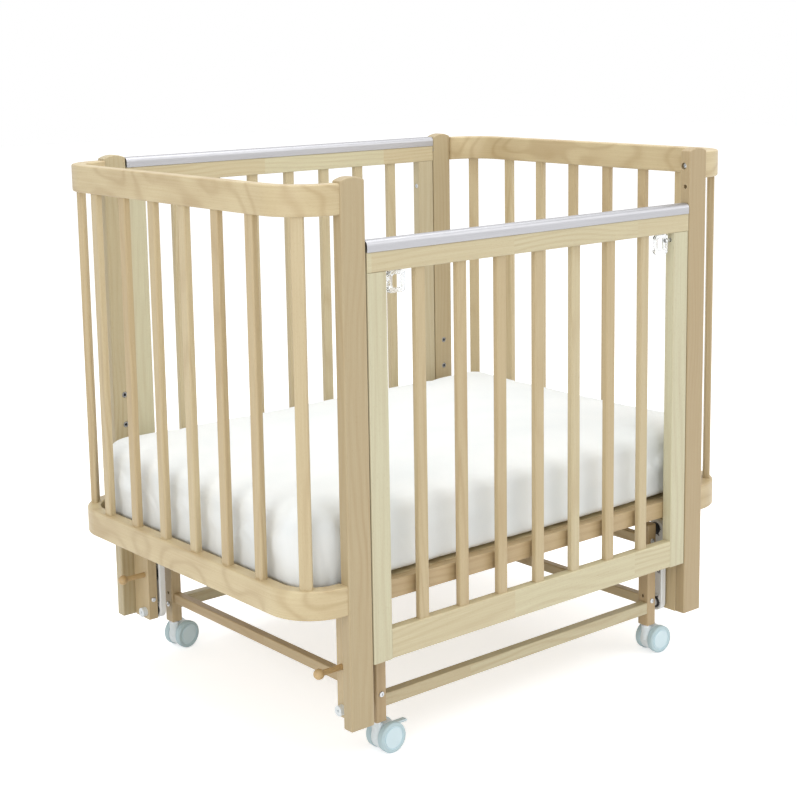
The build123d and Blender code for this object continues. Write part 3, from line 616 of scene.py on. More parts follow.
@dataclass(frozen=True)
class CoverCloth(Finish):
    """White woven mattress cover."""

    white: Colour = linear(240, 243, 243)
    shade: Colour = linear(226, 232, 234)
    threads: float = FULL_TURN / 0.0011

    def build(self, effects: Effects) -> Material:
        """Makes the material from the shared shader groups."""
        material, bench, shader, place = self.start()
        cloth = bench.group(effects.cloth_weave, Place=place, Thread=self.threads)
        patch = bench.span(bench.cloud(place, (7.0, 9.0, 12.0), 2.0), 0.35, 0.7)
        colour = bench.tint(self.white, patch, 0.5, self.shade)
        # The gaps between the threads are painted darker, as painted shade in the weave's hollows.
        painted_weave_shade = bench.span(cloth.outputs["Weave"], 0.0, 0.35, 0.35, 0.0)
        colour = bench.mix(painted_weave_shade, colour, linear(206, 214, 218))
        rough = bench.span(cloth.outputs["Slub"], 0.3, 0.7, 0.78, 0.92)
        bench.fill(shader, Base_Color=colour, Roughness=rough, Specular_IOR_Level=0.3)
        bench.fill(shader, Sheen_Weight=0.25, Sheen_Roughness=0.5)
        relief = bench.math("MULTIPLY_ADD", cloth.outputs["Slub"], 0.8, cloth.outputs["Weave"])
        self.bump(bench, shader, relief, 0.00018, 0.5)
        return material


@dataclass(frozen=True)
class StudioFloor(Finish):
    """Pale floor that reads white to the camera and keeps the object's shadow."""

    colour: Colour = (0.86, 0.86, 0.86)
    shade: Colour = (0.8, 0.8, 0.8)
    lift: float = 0.55

    def build(self, effects: Effects) -> Material:
        """Makes the material; the shared groups give it a faint grain."""
        material, bench, shader, place = self.start()
        speck = bench.group(effects.fine_speck, Place=place, Grit=300.0)
        colour = bench.tint(self.colour, speck.outputs["Speck"], 0.04, self.shade)
        bench.fill(shader, Base_Color=colour, Roughness=0.8, Specular_IOR_Level=0.1)
        path = bench.add("ShaderNodeLightPath")
        seen = bench.math("MAXIMUM", path.outputs["Is Camera Ray"], path.outputs["Is Glossy Ray"])
        seen = bench.math("MAXIMUM", seen, path.outputs["Is Transmission Ray"])
        glow = bench.math("MULTIPLY", seen, self.lift)
        bench.fill(shader, Emission_Color=WHITE, Emission_Strength=glow)
        return material


class Palette:
    """Every finish of the crib, made once and given out by name."""

    def __init__(self) -> None:
        """Builds the shared groups; each material is made when it is first asked for."""
        self.effects = Effects()
        self.made: dict[str, Material] = {}
        side_cell = (0.0843, 10.0, 10.0)
        side_shift = (0.5, 0.0, 0.0)
        end_cell = (10.0, 0.0912, 10.0)
        finishes: list[Finish] = [
            Timber("beech_posts", Grain.ALONG_Z, 3, pale=linear(186, 174, 140), blush=linear(173, 152, 116)),
            Timber("beech_end_slats", Grain.ALONG_Z, 7, pale=linear(200, 184, 147), cell=end_cell),
            Timber("beech_side_slats", Grain.ALONG_Z, 12, cell=side_cell, shift=side_shift),
            Timber(
                "beech_stiles", Grain.ALONG_Z, 15, pale=linear(205, 203, 173), blush=linear(188, 174, 142),
                ring_width=0.012, ring_depth=0.2,
            ),
            Timber(
                "beech_side_rails", Grain.ALONG_X, 18, pale=linear(205, 199, 166),
                blush=linear(197, 180, 143), cell=(0.29, 10.0, 0.2), shift=(0.21, 0.0, 0.3), ring_depth=0.26,
            ),
            Timber(
                "beech_bent", Grain.BENT, 21, Figure.SWIRL, pale=linear(212, 199, 161),
                blush=linear(203, 182, 140), ring_depth=0.3,
            ),
            Timber(
                "beech_bed_rails", Grain.ALONG_X, 24, pale=linear(190, 169, 130),
                blush=linear(180, 154, 114),
            ),
            Timber("beech_battens", Grain.ALONG_Y, 27, cell=(0.1, 10.0, 10.0)),
            Timber("beech_blocks", Grain.ALONG_Z, 30, pale=linear(197, 178, 140)),
            Timber("beech_pegs", Grain.ALONG_X, 33, pale=linear(202, 174, 126), blush=linear(192, 161, 113)),
            Timber("beech_legs", Grain.ALONG_Z, 36, pale=linear(190, 171, 135), blush=linear(179, 154, 116)),
            Timber(
                "beech_long_stretchers", Grain.ALONG_X, 39, pale=linear(200, 193, 160),
                blush=linear(188, 173, 138), cell=(0.42, 10.0, 10.0), shift=(0.3, 0.0, 0.0),
            ),
            Timber(
                "beech_cross_rails", Grain.ALONG_Y, 42, pale=linear(192, 174, 136),
                blush=linear(181, 156, 116), cell=(10.0, 10.0, 0.15),
            ),
            LayeredBoard("layered_board"),
            Metal("satin_cap", (0.47, 0.47, 0.49), 0.4, (6.0, 1800.0, 1800.0), 0.00002),
            Metal("zinc_screw", (0.66, 0.68, 0.70), 0.3, (500.0, 500.0, 500.0)),
            Metal("zinc_insert", (0.42, 0.42, 0.43), 0.42, (700.0, 700.0, 700.0)),
            Metal("pivot_steel", (0.58, 0.59, 0.60), 0.3, (500.0, 500.0, 500.0)),
            Moulded("link_white", linear(238, 240, 240), linear(228, 231, 232), 0.38, 900.0, 0.05),
            Moulded("bush_dark", linear(58, 58, 60), linear(48, 48, 50), 0.55, 1600.0),
            Moulded("pivot_cap_pale", linear(226, 232, 234), linear(214, 222, 226), 0.36, 1400.0),
            Moulded("hood_white", linear(226, 234, 237), linear(214, 224, 228), 0.36, 1200.0, 0.04),
            Moulded("tread_grey", linear(186, 207, 212), linear(175, 197, 203), 0.5, 1700.0),
            Moulded("disc_pale", linear(212, 231, 237), linear(203, 223, 230), 0.34, 1300.0),
            Moulded("brake_pale", linear(204, 220, 224), linear(190, 208, 213), 0.4, 1500.0),
            Moulded("guide_pin_white", linear(230, 230, 226), linear(218, 218, 214), 0.35, 1500.0),
            ClearPlastic("clear_latch"),
            CoverCloth("mattress_cover"),
            StudioFloor("studio_floor"),
        ]
        self.finishes = {finish.name: finish for finish in finishes}

    def get(self, name: str) -> Material:
        """Gives a finish's material, made on first use."""
        if name not in self.made:
            self.made[name] = self.finishes[name].build(self.effects)
        return self.made[name]


class Dresser:
    """Puts finishes on the CAD nodes without touching their shapes."""

    def __init__(self, nodes: dict[str, Piece], palette: Palette) -> None:
        """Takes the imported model's nodes and the palette."""
        self.nodes = nodes
        self.palette = palette

    def whole(self, finish: str, *names: str) -> None:
        """Gives whole nodes one finish."""
        for name in names:
            mesh = self.nodes[name].data
            mesh.materials.clear()
            mesh.materials.append(self.palette.get(finish))
            log.info("%s finished in %s", name, finish)

    def by_face(self, name: str, finishes: list[str], choose) -> None:
        """Gives each face of a node the finish that a rule picks.

        Args:
            name: The node.
            finishes: Names of the finishes.
            choose: Takes an array of face centres, and returns each one's place in the list.
        """
        mesh = self.nodes[name].data
        mesh.materials.clear()
        for finish in finishes:
            mesh.materials.append(self.palette.get(finish))
        centres = np.empty(len(mesh.polygons) * 3, np.float32)
        mesh.polygons.foreach_get("center", centres)
        picks = np.asarray(choose(centres.reshape(-1, 3)), np.int32)
        mesh.polygons.foreach_set("material_index", picks)
        mesh.update()
        log.info("%s finished in %s", name, ", ".join(finishes))


CORNERS = {"front_left": (-1, -1), "front_right": (1, -1), "back_left": (-1, 1), "back_right": (1, 1)}
ENDS = {"left": -1, "right": 1}


@dataclass
class CribBody:
    """The hanging crib: posts, bent rails, slats, bed and pivot blocks."""

    cap_start: float = 0.380

    def dress(self, dresser: Dresser) -> None:
        """Finishes every node of the crib body."""
        dresser.whole("beech_posts", *[f"post_{corner}" for corner in CORNERS])
        rails = [f"end_rail_{level}_{end}" for level in ("top", "low") for end in ENDS]
        dresser.whole("beech_bent", *rails)
        dresser.whole("beech_end_slats", "end_slats_left", "end_slats_right")
        dresser.whole("zinc_insert", "end_rail_inserts")
        dresser.whole("beech_stiles", "back_side_stiles")
        dresser.whole("beech_side_rails", "back_side_top_rail", "back_side_low_rail")
        dresser.whole("beech_side_slats", "back_side_slats")
        dresser.whole("satin_cap", "back_side_cap")
        dresser.whole("beech_bed_rails", "bed_rails")
        dresser.whole("beech_battens", "bed_battens")
        dresser.whole("layered_board", "bed_board")
        dresser.whole("beech_blocks", "pendulum_blocks")
        dresser.by_face("low_pivots", ["pivot_steel", "pivot_cap_pale"], self.low_pivot_parts)

    def low_pivot_parts(self, centres: np.ndarray) -> np.ndarray:
        """Tells the caps of the low pivots from their pins and washers."""
        return np.abs(centres[:, 0]) > self.cap_start - FACE_SLACK


@dataclass
class DropSide:
    """The front panel that slides, with its cap, guide pins and latches."""

    def dress(self, dresser: Dresser) -> None:
        """Finishes every node of the drop side."""
        dresser.whole("beech_stiles", "drop_side_stiles")
        dresser.whole("beech_side_rails", "drop_side_top_rail", "drop_side_low_rail")
        dresser.whole("beech_side_slats", "drop_side_slats")
        dresser.whole("satin_cap", "drop_side_cap")
        dresser.whole("guide_pin_white", "drop_side_guide_pins")
        dresser.whole("clear_latch", "drop_side_latch_left", "drop_side_latch_right")


@dataclass
class SwingGear:
    """The base frame, its links and pivots, and the locking pegs."""

    pivot_y: float = 0.294
    pivot_levels: Triple = (0.087, 0.157, 0.227)
    bush_radius: float = 0.0112
    spacer_reach: tuple[float, float] = (0.327, 0.3442)
    pin_radius: float = 0.0042

    def dress(self, dresser: Dresser) -> None:
        """Finishes every node of the base frame and the swing."""
        for corner in CORNERS:
            dresser.by_face(f"swing_link_{corner}", ["link_white", "bush_dark"], self.link_parts)
            dresser.whole("beech_pegs", f"locking_peg_{corner}")
        dresser.by_face("high_pivots", ["pivot_steel", "bush_dark"], self.spacer_parts)
        dresser.whole("beech_legs", "base_legs")
        dresser.whole("beech_long_stretchers", "base_long_stretchers")
        dresser.whole("beech_cross_rails", "base_cross_rails")
        dresser.whole("zinc_insert", "caster_sockets")

    def from_pivot(self, centres: np.ndarray, level: float) -> np.ndarray:
        """How far each face centre is from the pivot line at one level."""
        return np.hypot(np.abs(centres[:, 1]) - self.pivot_y, centres[:, 2] - level)

    def link_parts(self, centres: np.ndarray) -> np.ndarray:
        """Tells a link's bushes from its strap."""
        near = [self.from_pivot(centres, level) < self.bush_radius for level in self.pivot_levels]
        return np.logical_or.reduce(near)

    def spacer_parts(self, centres: np.ndarray) -> np.ndarray:
        """Tells the plastic spacers from the steel pins."""
        reach = np.abs(centres[:, 0])
        outside = self.from_pivot(centres, self.pivot_levels[2]) > self.pin_radius
        start, end = self.spacer_reach
        return (reach > start - FACE_SLACK) & (reach < end + FACE_SLACK) & outside


@dataclass
class Casters:
    """Four twin-wheel casters, two of them braked."""

    axle_height: float = 0.025
    disc_radius: float = 0.0192
    axle_radius: float = 0.0031
    hood_top: float = 0.0503
    disc_start: float = 0.012
    headings: dict[str, float] = field(
        default_factory=lambda: dict(zip(CORNERS, (-1.0, -4.0, 9.0, 5.0)))
    )

    def dress(self, dresser: Dresser) -> None:
        """Finishes every caster."""
        for corner, heading in self.headings.items():
            low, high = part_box(f"caster_wheels_{corner}")
            centre = np.array((low + high) / 2, np.float32)
            centre[2] = self.axle_height
            turn = math.radians(heading)
            axle = np.array((-math.sin(turn), math.cos(turn), 0.0), np.float32)

            def wheel_parts(centres: np.ndarray, centre=centre, axle=axle) -> np.ndarray:
                """Tread, pale disc or steel axle, from the distance to the axle's line."""
                arm = centres - centre
                across = arm @ axle
                radius = np.linalg.norm(arm - np.outer(across, axle), axis=1)
                disc = (radius < self.disc_radius) & (np.abs(across) > self.disc_start)
                return np.where(radius < self.axle_radius, 2, np.where(disc, 1, 0))

            tyre_parts = ["tread_grey", "disc_pale", "pivot_steel"]
            dresser.by_face(f"caster_wheels_{corner}", tyre_parts, wheel_parts)
            dresser.by_face(f"caster_hood_{corner}", ["hood_white", "pivot_steel"], self.stem_parts)
        dresser.whole("brake_pale", "caster_brake_front_left", "caster_brake_back_right")

    def stem_parts(self, centres: np.ndarray) -> np.ndarray:
        """Tells the steel stem from the hood below it."""
        return centres[:, 2] > self.hood_top


class GeometryBench(NodeBench):
    """Adds and joins the nodes of a Geometry Nodes tree."""

    def wire(self, kind: str, inputs: dict[str, object], **settings: object) -> Node:
        """Adds a node and feeds its inputs by name."""
        node = self.add(kind, **settings)
        for name, value in inputs.items():
            self.feed(node.inputs[name], value)
        return node


class SocketScrewTree:
    """Geometry Nodes tree that sets a socket-head screw at each marked spot, facing outward."""

    inputs = {
        "Head Radius": 0.005,
        "Head Height": 0.003,
        "Shank Radius": 0.003,
        "Shank Length": 0.03,
        "Socket Radius": 0.002,
        "Socket Depth": 0.002,
    }

    def __init__(self) -> None:
        """Builds the tree."""
        self.tree = bpy.data.node_groups.new("socket_screws", "GeometryNodeTree")
        face = self.tree.interface
        face.new_socket("Spots", in_out="INPUT", socket_type="NodeSocketGeometry")
        for name, value in self.inputs.items():
            face.new_socket(name, in_out="INPUT", socket_type="NodeSocketFloat").default_value = value
        face.new_socket("Turn Seed", in_out="INPUT", socket_type="NodeSocketInt").default_value = 5
        face.new_socket("Finish", in_out="INPUT", socket_type="NodeSocketMaterial")
        face.new_socket("Screws", in_out="OUTPUT", socket_type="NodeSocketGeometry")
        self.bench = GeometryBench(self.tree)
        source = self.bench.add("NodeGroupInput")
        result = self.bench.add("NodeGroupOutput")
        screw = self.screw(source.outputs)
        self.bench.feed(result.inputs["Screws"], self.at_spots(screw, source.outputs))

    def raised(self, mesh: object, top: object, rise: object) -> tuple[object, object]:
        """Draws the top face up or down along the screw.

        Args:
            mesh: The screw so far.
            top: Which faces are its top, or None for all.
            rise: How far to draw them.

        Returns:
            The new mesh and its top faces.
        """
        inputs = {"Mesh": mesh, "Offset": (0.0, 0.0, 1.0), "Offset Scale": rise, "Individual": False}
        if top is not None:
            inputs["Selection"] = top
        node = self.bench.wire("GeometryNodeExtrudeMesh", inputs, mode="FACES")
        return node.outputs["Mesh"], node.outputs["Top"]

    def widened(self, mesh: object, top: object, ratio: object) -> object:
        """Scales the top face about its middle."""
        inputs = {"Geometry": mesh, "Selection": top, "Scale": ratio}
        return self.bench.wire("GeometryNodeScaleElements", inputs, domain="FACE").outputs[0]

    def screw(self, sizes: object) -> object:
        """Builds one screw along Z, its seat at Z = 0 and its head above."""
        bench = self.bench
        rim = {"Vertices": 24, "Radius": sizes["Shank Radius"]}
        circle = bench.wire("GeometryNodeMeshCircle", rim, fill_type="NGON").outputs[0]
        tip = bench.join(0.0, 0.0, bench.math("MULTIPLY", sizes["Shank Length"], -1.0))
        start = bench.wire("GeometryNodeTransform", {"Geometry": circle, "Translation": tip}).outputs[0]
        closed = bench.wire("GeometryNodeFlipFaces", {"Mesh": start}).outputs[0]
        mesh, top = self.raised(start, None, sizes["Shank Length"])
        mesh, top = self.raised(mesh, top, 0.0)
        mesh = self.widened(mesh, top, bench.math("DIVIDE", sizes["Head Radius"], sizes["Shank Radius"]))
        for share, ratio in ((0.62, 1.0), (0.24, 0.94), (0.14, 0.88)):
            mesh, top = self.raised(mesh, top, bench.math("MULTIPLY", sizes["Head Height"], share))
            if ratio < 1.0:
                mesh = self.widened(mesh, top, ratio)
        mesh, top = self.raised(mesh, top, 0.0)
        mesh = self.hexagon(mesh, top, sizes["Socket Radius"])
        mesh, top = self.raised(mesh, top, bench.math("MULTIPLY", sizes["Socket Depth"], -1.0))
        both = bench.add("GeometryNodeJoinGeometry")
        for part in (mesh, closed):
            bench.feed(both.inputs[0], part)
        weld = {"Geometry": both.outputs[0], "Distance": 1e-6}
        return bench.wire("GeometryNodeMergeByDistance", weld).outputs[0]

    def hexagon(self, mesh: object, top: object, radius: object) -> object:
        """Pulls the rim of the top face in to a six-sided hole."""
        bench = self.bench
        x, y, z = bench.parts(bench.add("GeometryNodeInputPosition").outputs[0])
        angle = bench.math("ARCTAN2", y, x)
        wrapped = bench.math("WRAP", angle, math.pi / 6, -math.pi / 6)
        flat = bench.math("MULTIPLY", radius, math.cos(math.pi / 6))
        reach = bench.math("DIVIDE", flat, bench.math("COSINE", wrapped))
        place = bench.join(
            bench.math("MULTIPLY", reach, bench.math("COSINE", angle)),
            bench.math("MULTIPLY", reach, bench.math("SINE", angle)),
            z,
        )
        moved = {"Geometry": mesh, "Selection": top, "Position": place}
        return bench.wire("GeometryNodeSetPosition", moved).outputs[0]

    def at_spots(self, screw: object, sizes: object) -> object:
        """Sets the screw at each spot, turned to face outward and a little round its own axis."""
        bench = self.bench
        name = {"Name": "outward"}
        outward = bench.wire("GeometryNodeInputNamedAttribute", name, data_type="FLOAT_VECTOR").outputs[0]
        aimed = bench.wire("FunctionNodeAlignRotationToVector", {"Vector": outward}, axis="Z")
        chance = bench.add("FunctionNodeRandomValue", data_type="FLOAT")
        low, high = [port for port in chance.inputs if port.type == "VALUE" and port.name in ("Min", "Max")]
        low.default_value, high.default_value = 0.0, math.pi / 3
        bench.feed(chance.inputs["Seed"], sizes["Turn Seed"])
        number = [socket for socket in chance.outputs if socket.type == "VALUE"][0]
        twist = bench.wire("FunctionNodeAxisAngleToRotation", {"Axis": (0.0, 0.0, 1.0), "Angle": number})
        turned = bench.add("FunctionNodeRotateRotation", rotation_space="LOCAL")
        bench.feed(turned.inputs[0], aimed.outputs[0])
        bench.feed(turned.inputs[1], twist.outputs[0])
        spread = {"Points": sizes["Spots"], "Instance": screw, "Rotation": turned.outputs[0]}
        placed = bench.wire("GeometryNodeInstanceOnPoints", spread).outputs[0]
        real = bench.wire("GeometryNodeRealizeInstances", {"Geometry": placed}).outputs[0]
        coat = {"Geometry": real, "Material": sizes["Finish"]}
        return bench.wire("GeometryNodeSetMaterial", coat).outputs[0]


@dataclass(frozen=True)
class ScrewSet:
    """Screws of one size on one body. Each spot is a seat point and the way its head faces."""

    name: str
    body: str
    stands_for: str
    spots: tuple[tuple[Triple, Triple], ...]
    head_radius: float
    head_height: float
    shank_radius: float
    shank_length: float
    socket_radius: float = 0.0024
    finish: str = "zinc_screw"
    slot: str = "steel_screw"
    turn_seed: int = 5
    socket_share: float = 0.7

    @property
    def socket_depth(self) -> float:
        """How deep the socket goes."""
        return self.head_height * self.socket_share


@dataclass
class Hardware:
    """Screws and threaded inserts, set by Geometry Nodes from their seats."""

    bolt_y: float = 0.33625
    rail_levels: tuple[float, float] = (0.283, 0.888)
    rail_seat_x: float = 0.370
    back_seat_x: float = 0.32585
    back_levels: tuple[float, float] = (0.326, 0.815)
    back_y: float = 0.340
    bed_seat_y: float = 0.3144
    post_mid_x: float = 0.38325
    bed_level: float = 0.273
    block_seat_y: float = 0.2809
    block_x: float = 0.3705
    block_levels: tuple[float, float] = (0.111, 0.209)
    leg_face_x: float = 0.327
    leg_face_y: float = 0.312
    leg_mid_x: float = 0.3165
    leg_mid_y: float = 0.300
    long_level: float = 0.087
    cross_levels: tuple[float, float] = (0.100, 0.213)
    insert_mouth_y: float = 0.3294
    insert_length: float = 0.0118
    sharp_angle: float = math.radians(35)
    insert_levels: tuple[float, float] = (0.4325, 0.4875)

    def facing(
        self, axis: int, x: float, y: float, levels: tuple[float, ...], way: int, back_only: bool = False
    ) -> tuple:
        """Seats on the faces of four corners.

        Args:
            axis: 0 where the heads face along X and 1 where they face along Y.
            x: Distance of each seat from the middle along the crib.
            y: Distance of each seat from the middle across it.
            levels: The heights.
            way: 1 to face away from the middle and -1 towards it.
            back_only: Whether only the two back corners have them.

        Returns:
            Each seat with the way its head faces.
        """
        spots = []
        for side in (-1, 1):
            for row in (1,) if back_only else (-1, 1):
                aim = (float(way * side), 0.0, 0.0) if axis == 0 else (0.0, float(way * row), 0.0)
                spots += [((side * x, row * y, z), aim) for z in levels]
        return tuple(spots)

    def sets(self) -> list[ScrewSet]:
        """Every set of screws and inserts, with its sizes."""
        insert_end_y = self.insert_mouth_y + self.insert_length
        base = self.facing(0, self.leg_face_x, self.leg_mid_y, (self.long_level,), 1)
        base += self.facing(1, self.leg_mid_x, self.leg_face_y, self.cross_levels, 1)
        return [
            ScrewSet(
                "bent_rail_screws", "crib_body", "end_rail_screws",
                self.facing(0, self.rail_seat_x, self.bolt_y, self.rail_levels, -1),
                0.005, 0.005, 0.003, 0.0595, turn_seed=11,
            ),
            ScrewSet(
                "back_panel_screws", "crib_body", "back_side_screws",
                self.facing(0, self.back_seat_x, self.back_y, self.back_levels, -1, True),
                0.0048, 0.003, 0.003, 0.05615, turn_seed=12,
            ),
            ScrewSet(
                "bed_frame_screws", "crib_body", "bed_screws",
                self.facing(1, self.post_mid_x, self.bed_seat_y, (self.bed_level,), -1),
                0.0046, 0.0026, 0.003, 0.026, turn_seed=13,
            ),
            ScrewSet(
                "pivot_block_screws", "crib_body", "pendulum_block_screws",
                self.facing(1, self.block_x, self.block_seat_y, self.block_levels, -1),
                0.0045, 0.0025, 0.003, 0.0595, turn_seed=14,
            ),
            ScrewSet(
                "base_frame_screws", "base_frame", "base_screws", base,
                0.0046, 0.0022, 0.0025, 0.034, turn_seed=15,
            ),
            ScrewSet(
                "bed_height_nuts", "crib_body", "bed_height_inserts",
                self.facing(1, self.post_mid_x, insert_end_y, self.insert_levels, -1),
                0.0055, self.insert_length, 0.0045, 0.0002, 0.0033, "zinc_insert", "insert", 16, 0.8,
            ),
        ]

    def build(self, palette: Palette) -> None:
        """Makes each set as one mesh and puts it on its body."""
        tree = SocketScrewTree().tree
        names = {item.name: item.identifier for item in tree.interface.items_tree if item.in_out == "INPUT"}
        for screws in self.sets():
            mesh = bpy.data.meshes.new(screws.name + "_spots")
            mesh.from_pydata([spot for spot, outward in screws.spots], [], [])
            outward = mesh.attributes.new("outward", "FLOAT_VECTOR", "POINT")
            outward.data.foreach_set("vector", [part for spot, way in screws.spots for part in way])
            piece = place_piece(screws.name, mesh)
            modifier = piece.modifiers.new("screws", "NODES")
            modifier.node_group = tree
            for name in (*SocketScrewTree.inputs, "Turn Seed"):
                modifier[names[name]] = getattr(screws, name.lower().replace(" ", "_"))
            modifier[names["Finish"]] = palette.get(screws.finish)
            apply_modifiers(piece)
            piece.data.shade_smooth()
            piece.data.set_sharp_from_angle(angle=self.sharp_angle)
            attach(piece, screws.body)
            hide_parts(screws.stands_for)
            log.info("%s: %d faces", piece.name, len(piece.data.polygons))


@dataclass
class Mattress:
    """The foam mattress in its fitted cover, puffed out by a short cloth simulation."""

    voxel: float = 0.006
    shrink: float = 0.0035
    pressure: float = 4.0
    frames: int = 20
    cap: float = 0.006
    half_length: float = 0.4665
    half_width: float = 0.3228
    corner_radius: float = 0.055
    foot: float = 0.2882
    top: float = 0.4275
    edge_band: float = 0.05
    edge_fade: float = 0.03
    corner_start: tuple[float, float] = (0.375, 0.235)
    corner_fade: float = 0.06

    def build(self, source: Piece, palette: Palette) -> Piece:
        """Makes the mattress from the CAD solid's outline.

        Args:
            source: The CAD mattress.
            palette: The finishes.

        Returns:
            The padded piece, on the crib body.
        """
        piece = self.blank(source)
        self.remesh(piece)
        self.puff(piece)
        self.fold(piece)
        self.refine(piece)
        piece.data.materials.clear()
        piece.data.materials.append(palette.get("mattress_cover"))
        piece.data.shade_smooth()
        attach(piece, "crib_body")
        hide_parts("mattress")
        log.info("mattress: %d faces", len(piece.data.polygons))
        return piece

    def blank(self, source: Piece) -> Piece:
        """A welded copy of the CAD solid, drawn in a little all round."""
        mesh = source.data.copy()
        mesh.materials.clear()
        work = bmesh.new()
        work.from_mesh(mesh)
        bmesh.ops.remove_doubles(work, verts=work.verts, dist=1e-5)
        low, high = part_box("mattress")
        middle, half = (low + high) / 2, (high - low) / 2
        for vertex in work.verts:
            for axis in range(3):
                arm = vertex.co[axis] - middle[axis]
                vertex.co[axis] = middle[axis] + arm * (half[axis] - self.shrink) / half[axis]
        work.to_mesh(mesh)
        work.free()
        return place_piece("crib_mattress", mesh)

    def remesh(self, piece: Piece) -> None:
        """Even mesh of small squares."""
        modifier = piece.modifiers.new("remesh", "REMESH")
        modifier.mode = "VOXEL"
        modifier.voxel_size = self.voxel
        apply_modifiers(piece)

    def puff(self, piece: Piece) -> None:
        """Swells the cover with pressure, and stops each point after a few millimetres."""
        before = self.points(piece.data)
        modifier = piece.modifiers.new("cloth", "CLOTH")
        settings = modifier.settings
        settings.quality = 4
        settings.use_pressure = True
        settings.uniform_pressure_force = self.pressure
        settings.effector_weights.gravity = 0.0
        settings.tension_stiffness = 12
        settings.compression_stiffness = 12
        settings.bending_stiffness = 0.4
        modifier.collision_settings.use_collision = False
        scene = bpy.context.scene
        for step in range(1, self.frames + 1):
            scene.frame_set(step)
        graph = bpy.context.evaluated_depsgraph_get()
        after = self.points(piece.evaluated_get(graph).data)
        piece.modifiers.clear()
        scene.frame_set(1)
        move = after - before
        length = np.linalg.norm(move, axis=1, keepdims=True)
        move *= np.minimum(1.0, self.cap / np.maximum(length, 1e-9))
        self.put(piece.data, before + move)

    def points(self, mesh: Mesh) -> np.ndarray:
        """The mesh's points as an array of rows."""
        flat = np.empty(len(mesh.vertices) * 3, np.float32)
        mesh.vertices.foreach_get("co", flat)
        return flat.reshape(-1, 3).astype(float)

    def put(self, mesh: Mesh, points: np.ndarray) -> None:
        """Writes the points back to the mesh."""
        mesh.vertices.foreach_set("co", points.astype(np.float32).ravel())
        mesh.update()

    def wander(self, points: np.ndarray, scale: Triple, seed: float) -> np.ndarray:
        """Smooth noise at each point, from -1 to 1."""
        spots = points * np.array(scale) + seed
        return np.array([noise.noise(Vector(spot)) for spot in spots])

    def fold(self, piece: Piece) -> None:
        """Lays soft creases in the sides, tucks at the corners and hollows in the top."""
        points = self.points(piece.data)
        x, y, z = points.T
        rise = np.clip((z - self.foot) / (self.top - self.foot), 0, 1)
        far_x, far_y = np.abs(x), np.abs(y)
        out_x = np.clip((far_x - (self.half_length - self.edge_band)) / self.edge_fade, 0, 1)
        out_y = np.clip((far_y - (self.half_width - self.edge_band)) / self.edge_fade, 0, 1)
        side = np.maximum(out_x, out_y) * np.clip((1.0 - rise) * 8, 0, 1)
        corner = np.clip((far_x - self.corner_start[0]) / self.corner_fade, 0, 1)
        corner *= np.clip((far_y - self.corner_start[1]) / self.corner_fade, 0, 1)
        angle = np.arctan2(far_y - BEND_CENTRE[1], far_x - BEND_CENTRE[0])
        along = x * np.sign(y) * out_y + y * np.sign(x) * out_x
        pull = 1.9 * self.wander(points, (26.0, 26.0, 5.0), 3.1)
        pull += 1.0 * self.wander(points, (60.0, 60.0, 11.0), 8.7) * (1.2 - rise)
        hem = np.exp(-(((rise - 0.05) / 0.10) ** 2))
        pull += hem * 1.5 * self.wander(points, (95.0, 95.0, 24.0), 5.5)
        tuck = np.sin(angle * 9 + 5.0 * rise + 1.3 * np.sign(x) + 0.7 * np.sign(y) + along * 4)
        pull -= corner * 3.2 * np.clip(tuck, 0, 1) ** 3 * np.clip(1.15 - rise, 0, 1)
        outward = np.stack([np.sign(x) * out_x, np.sign(y) * out_y, np.zeros_like(x)], axis=1)
        outward /= np.maximum(np.linalg.norm(outward, axis=1, keepdims=True), 1e-6)
        points += outward * (pull * side * MM)[:, None]
        hollow = 1.6 * self.wander(points * (1, 1, 0), (5.0, 6.5, 1.0), 1.7)
        hollow += 0.7 * self.wander(points * (1, 1, 0), (19.0, 15.0, 1.0), 4.2)
        points[:, 2] += (hollow - 1.0) * MM * np.clip((rise - 0.85) / 0.15, 0, 1)
        self.put(piece.data, self.held(points))

    def held(self, points: np.ndarray) -> np.ndarray:
        """Keeps the points inside the space between the rails, above the board."""
        x = np.clip(points[:, 0], -self.half_length, self.half_length)
        y = np.clip(points[:, 1], -self.half_width, self.half_width)
        core_x, core_y = self.half_length - self.corner_radius, self.half_width - self.corner_radius
        over = np.stack([np.maximum(np.abs(x) - core_x, 0), np.maximum(np.abs(y) - core_y, 0)])
        reach = np.hypot(*over)
        pull = np.where(reach > self.corner_radius, self.corner_radius / np.maximum(reach, 1e-9), 1.0)
        both = (over[0] > 0) & (over[1] > 0)
        x = np.where(both, np.sign(x) * (core_x + over[0] * pull), x)
        y = np.where(both, np.sign(y) * (core_y + over[1] * pull), y)
        z = np.clip(points[:, 2], self.foot, self.top)
        return np.stack([x, y, z], axis=1)

    def refine(self, piece: Piece) -> None:
        """One smooth subdivision, then the points are held in their space again."""
        modifier = piece.modifiers.new("smooth", "SUBSURF")
        modifier.levels = 1
        modifier.render_levels = 1
        apply_modifiers(piece)
        self.put(piece.data, self.held(self.points(piece.data)))


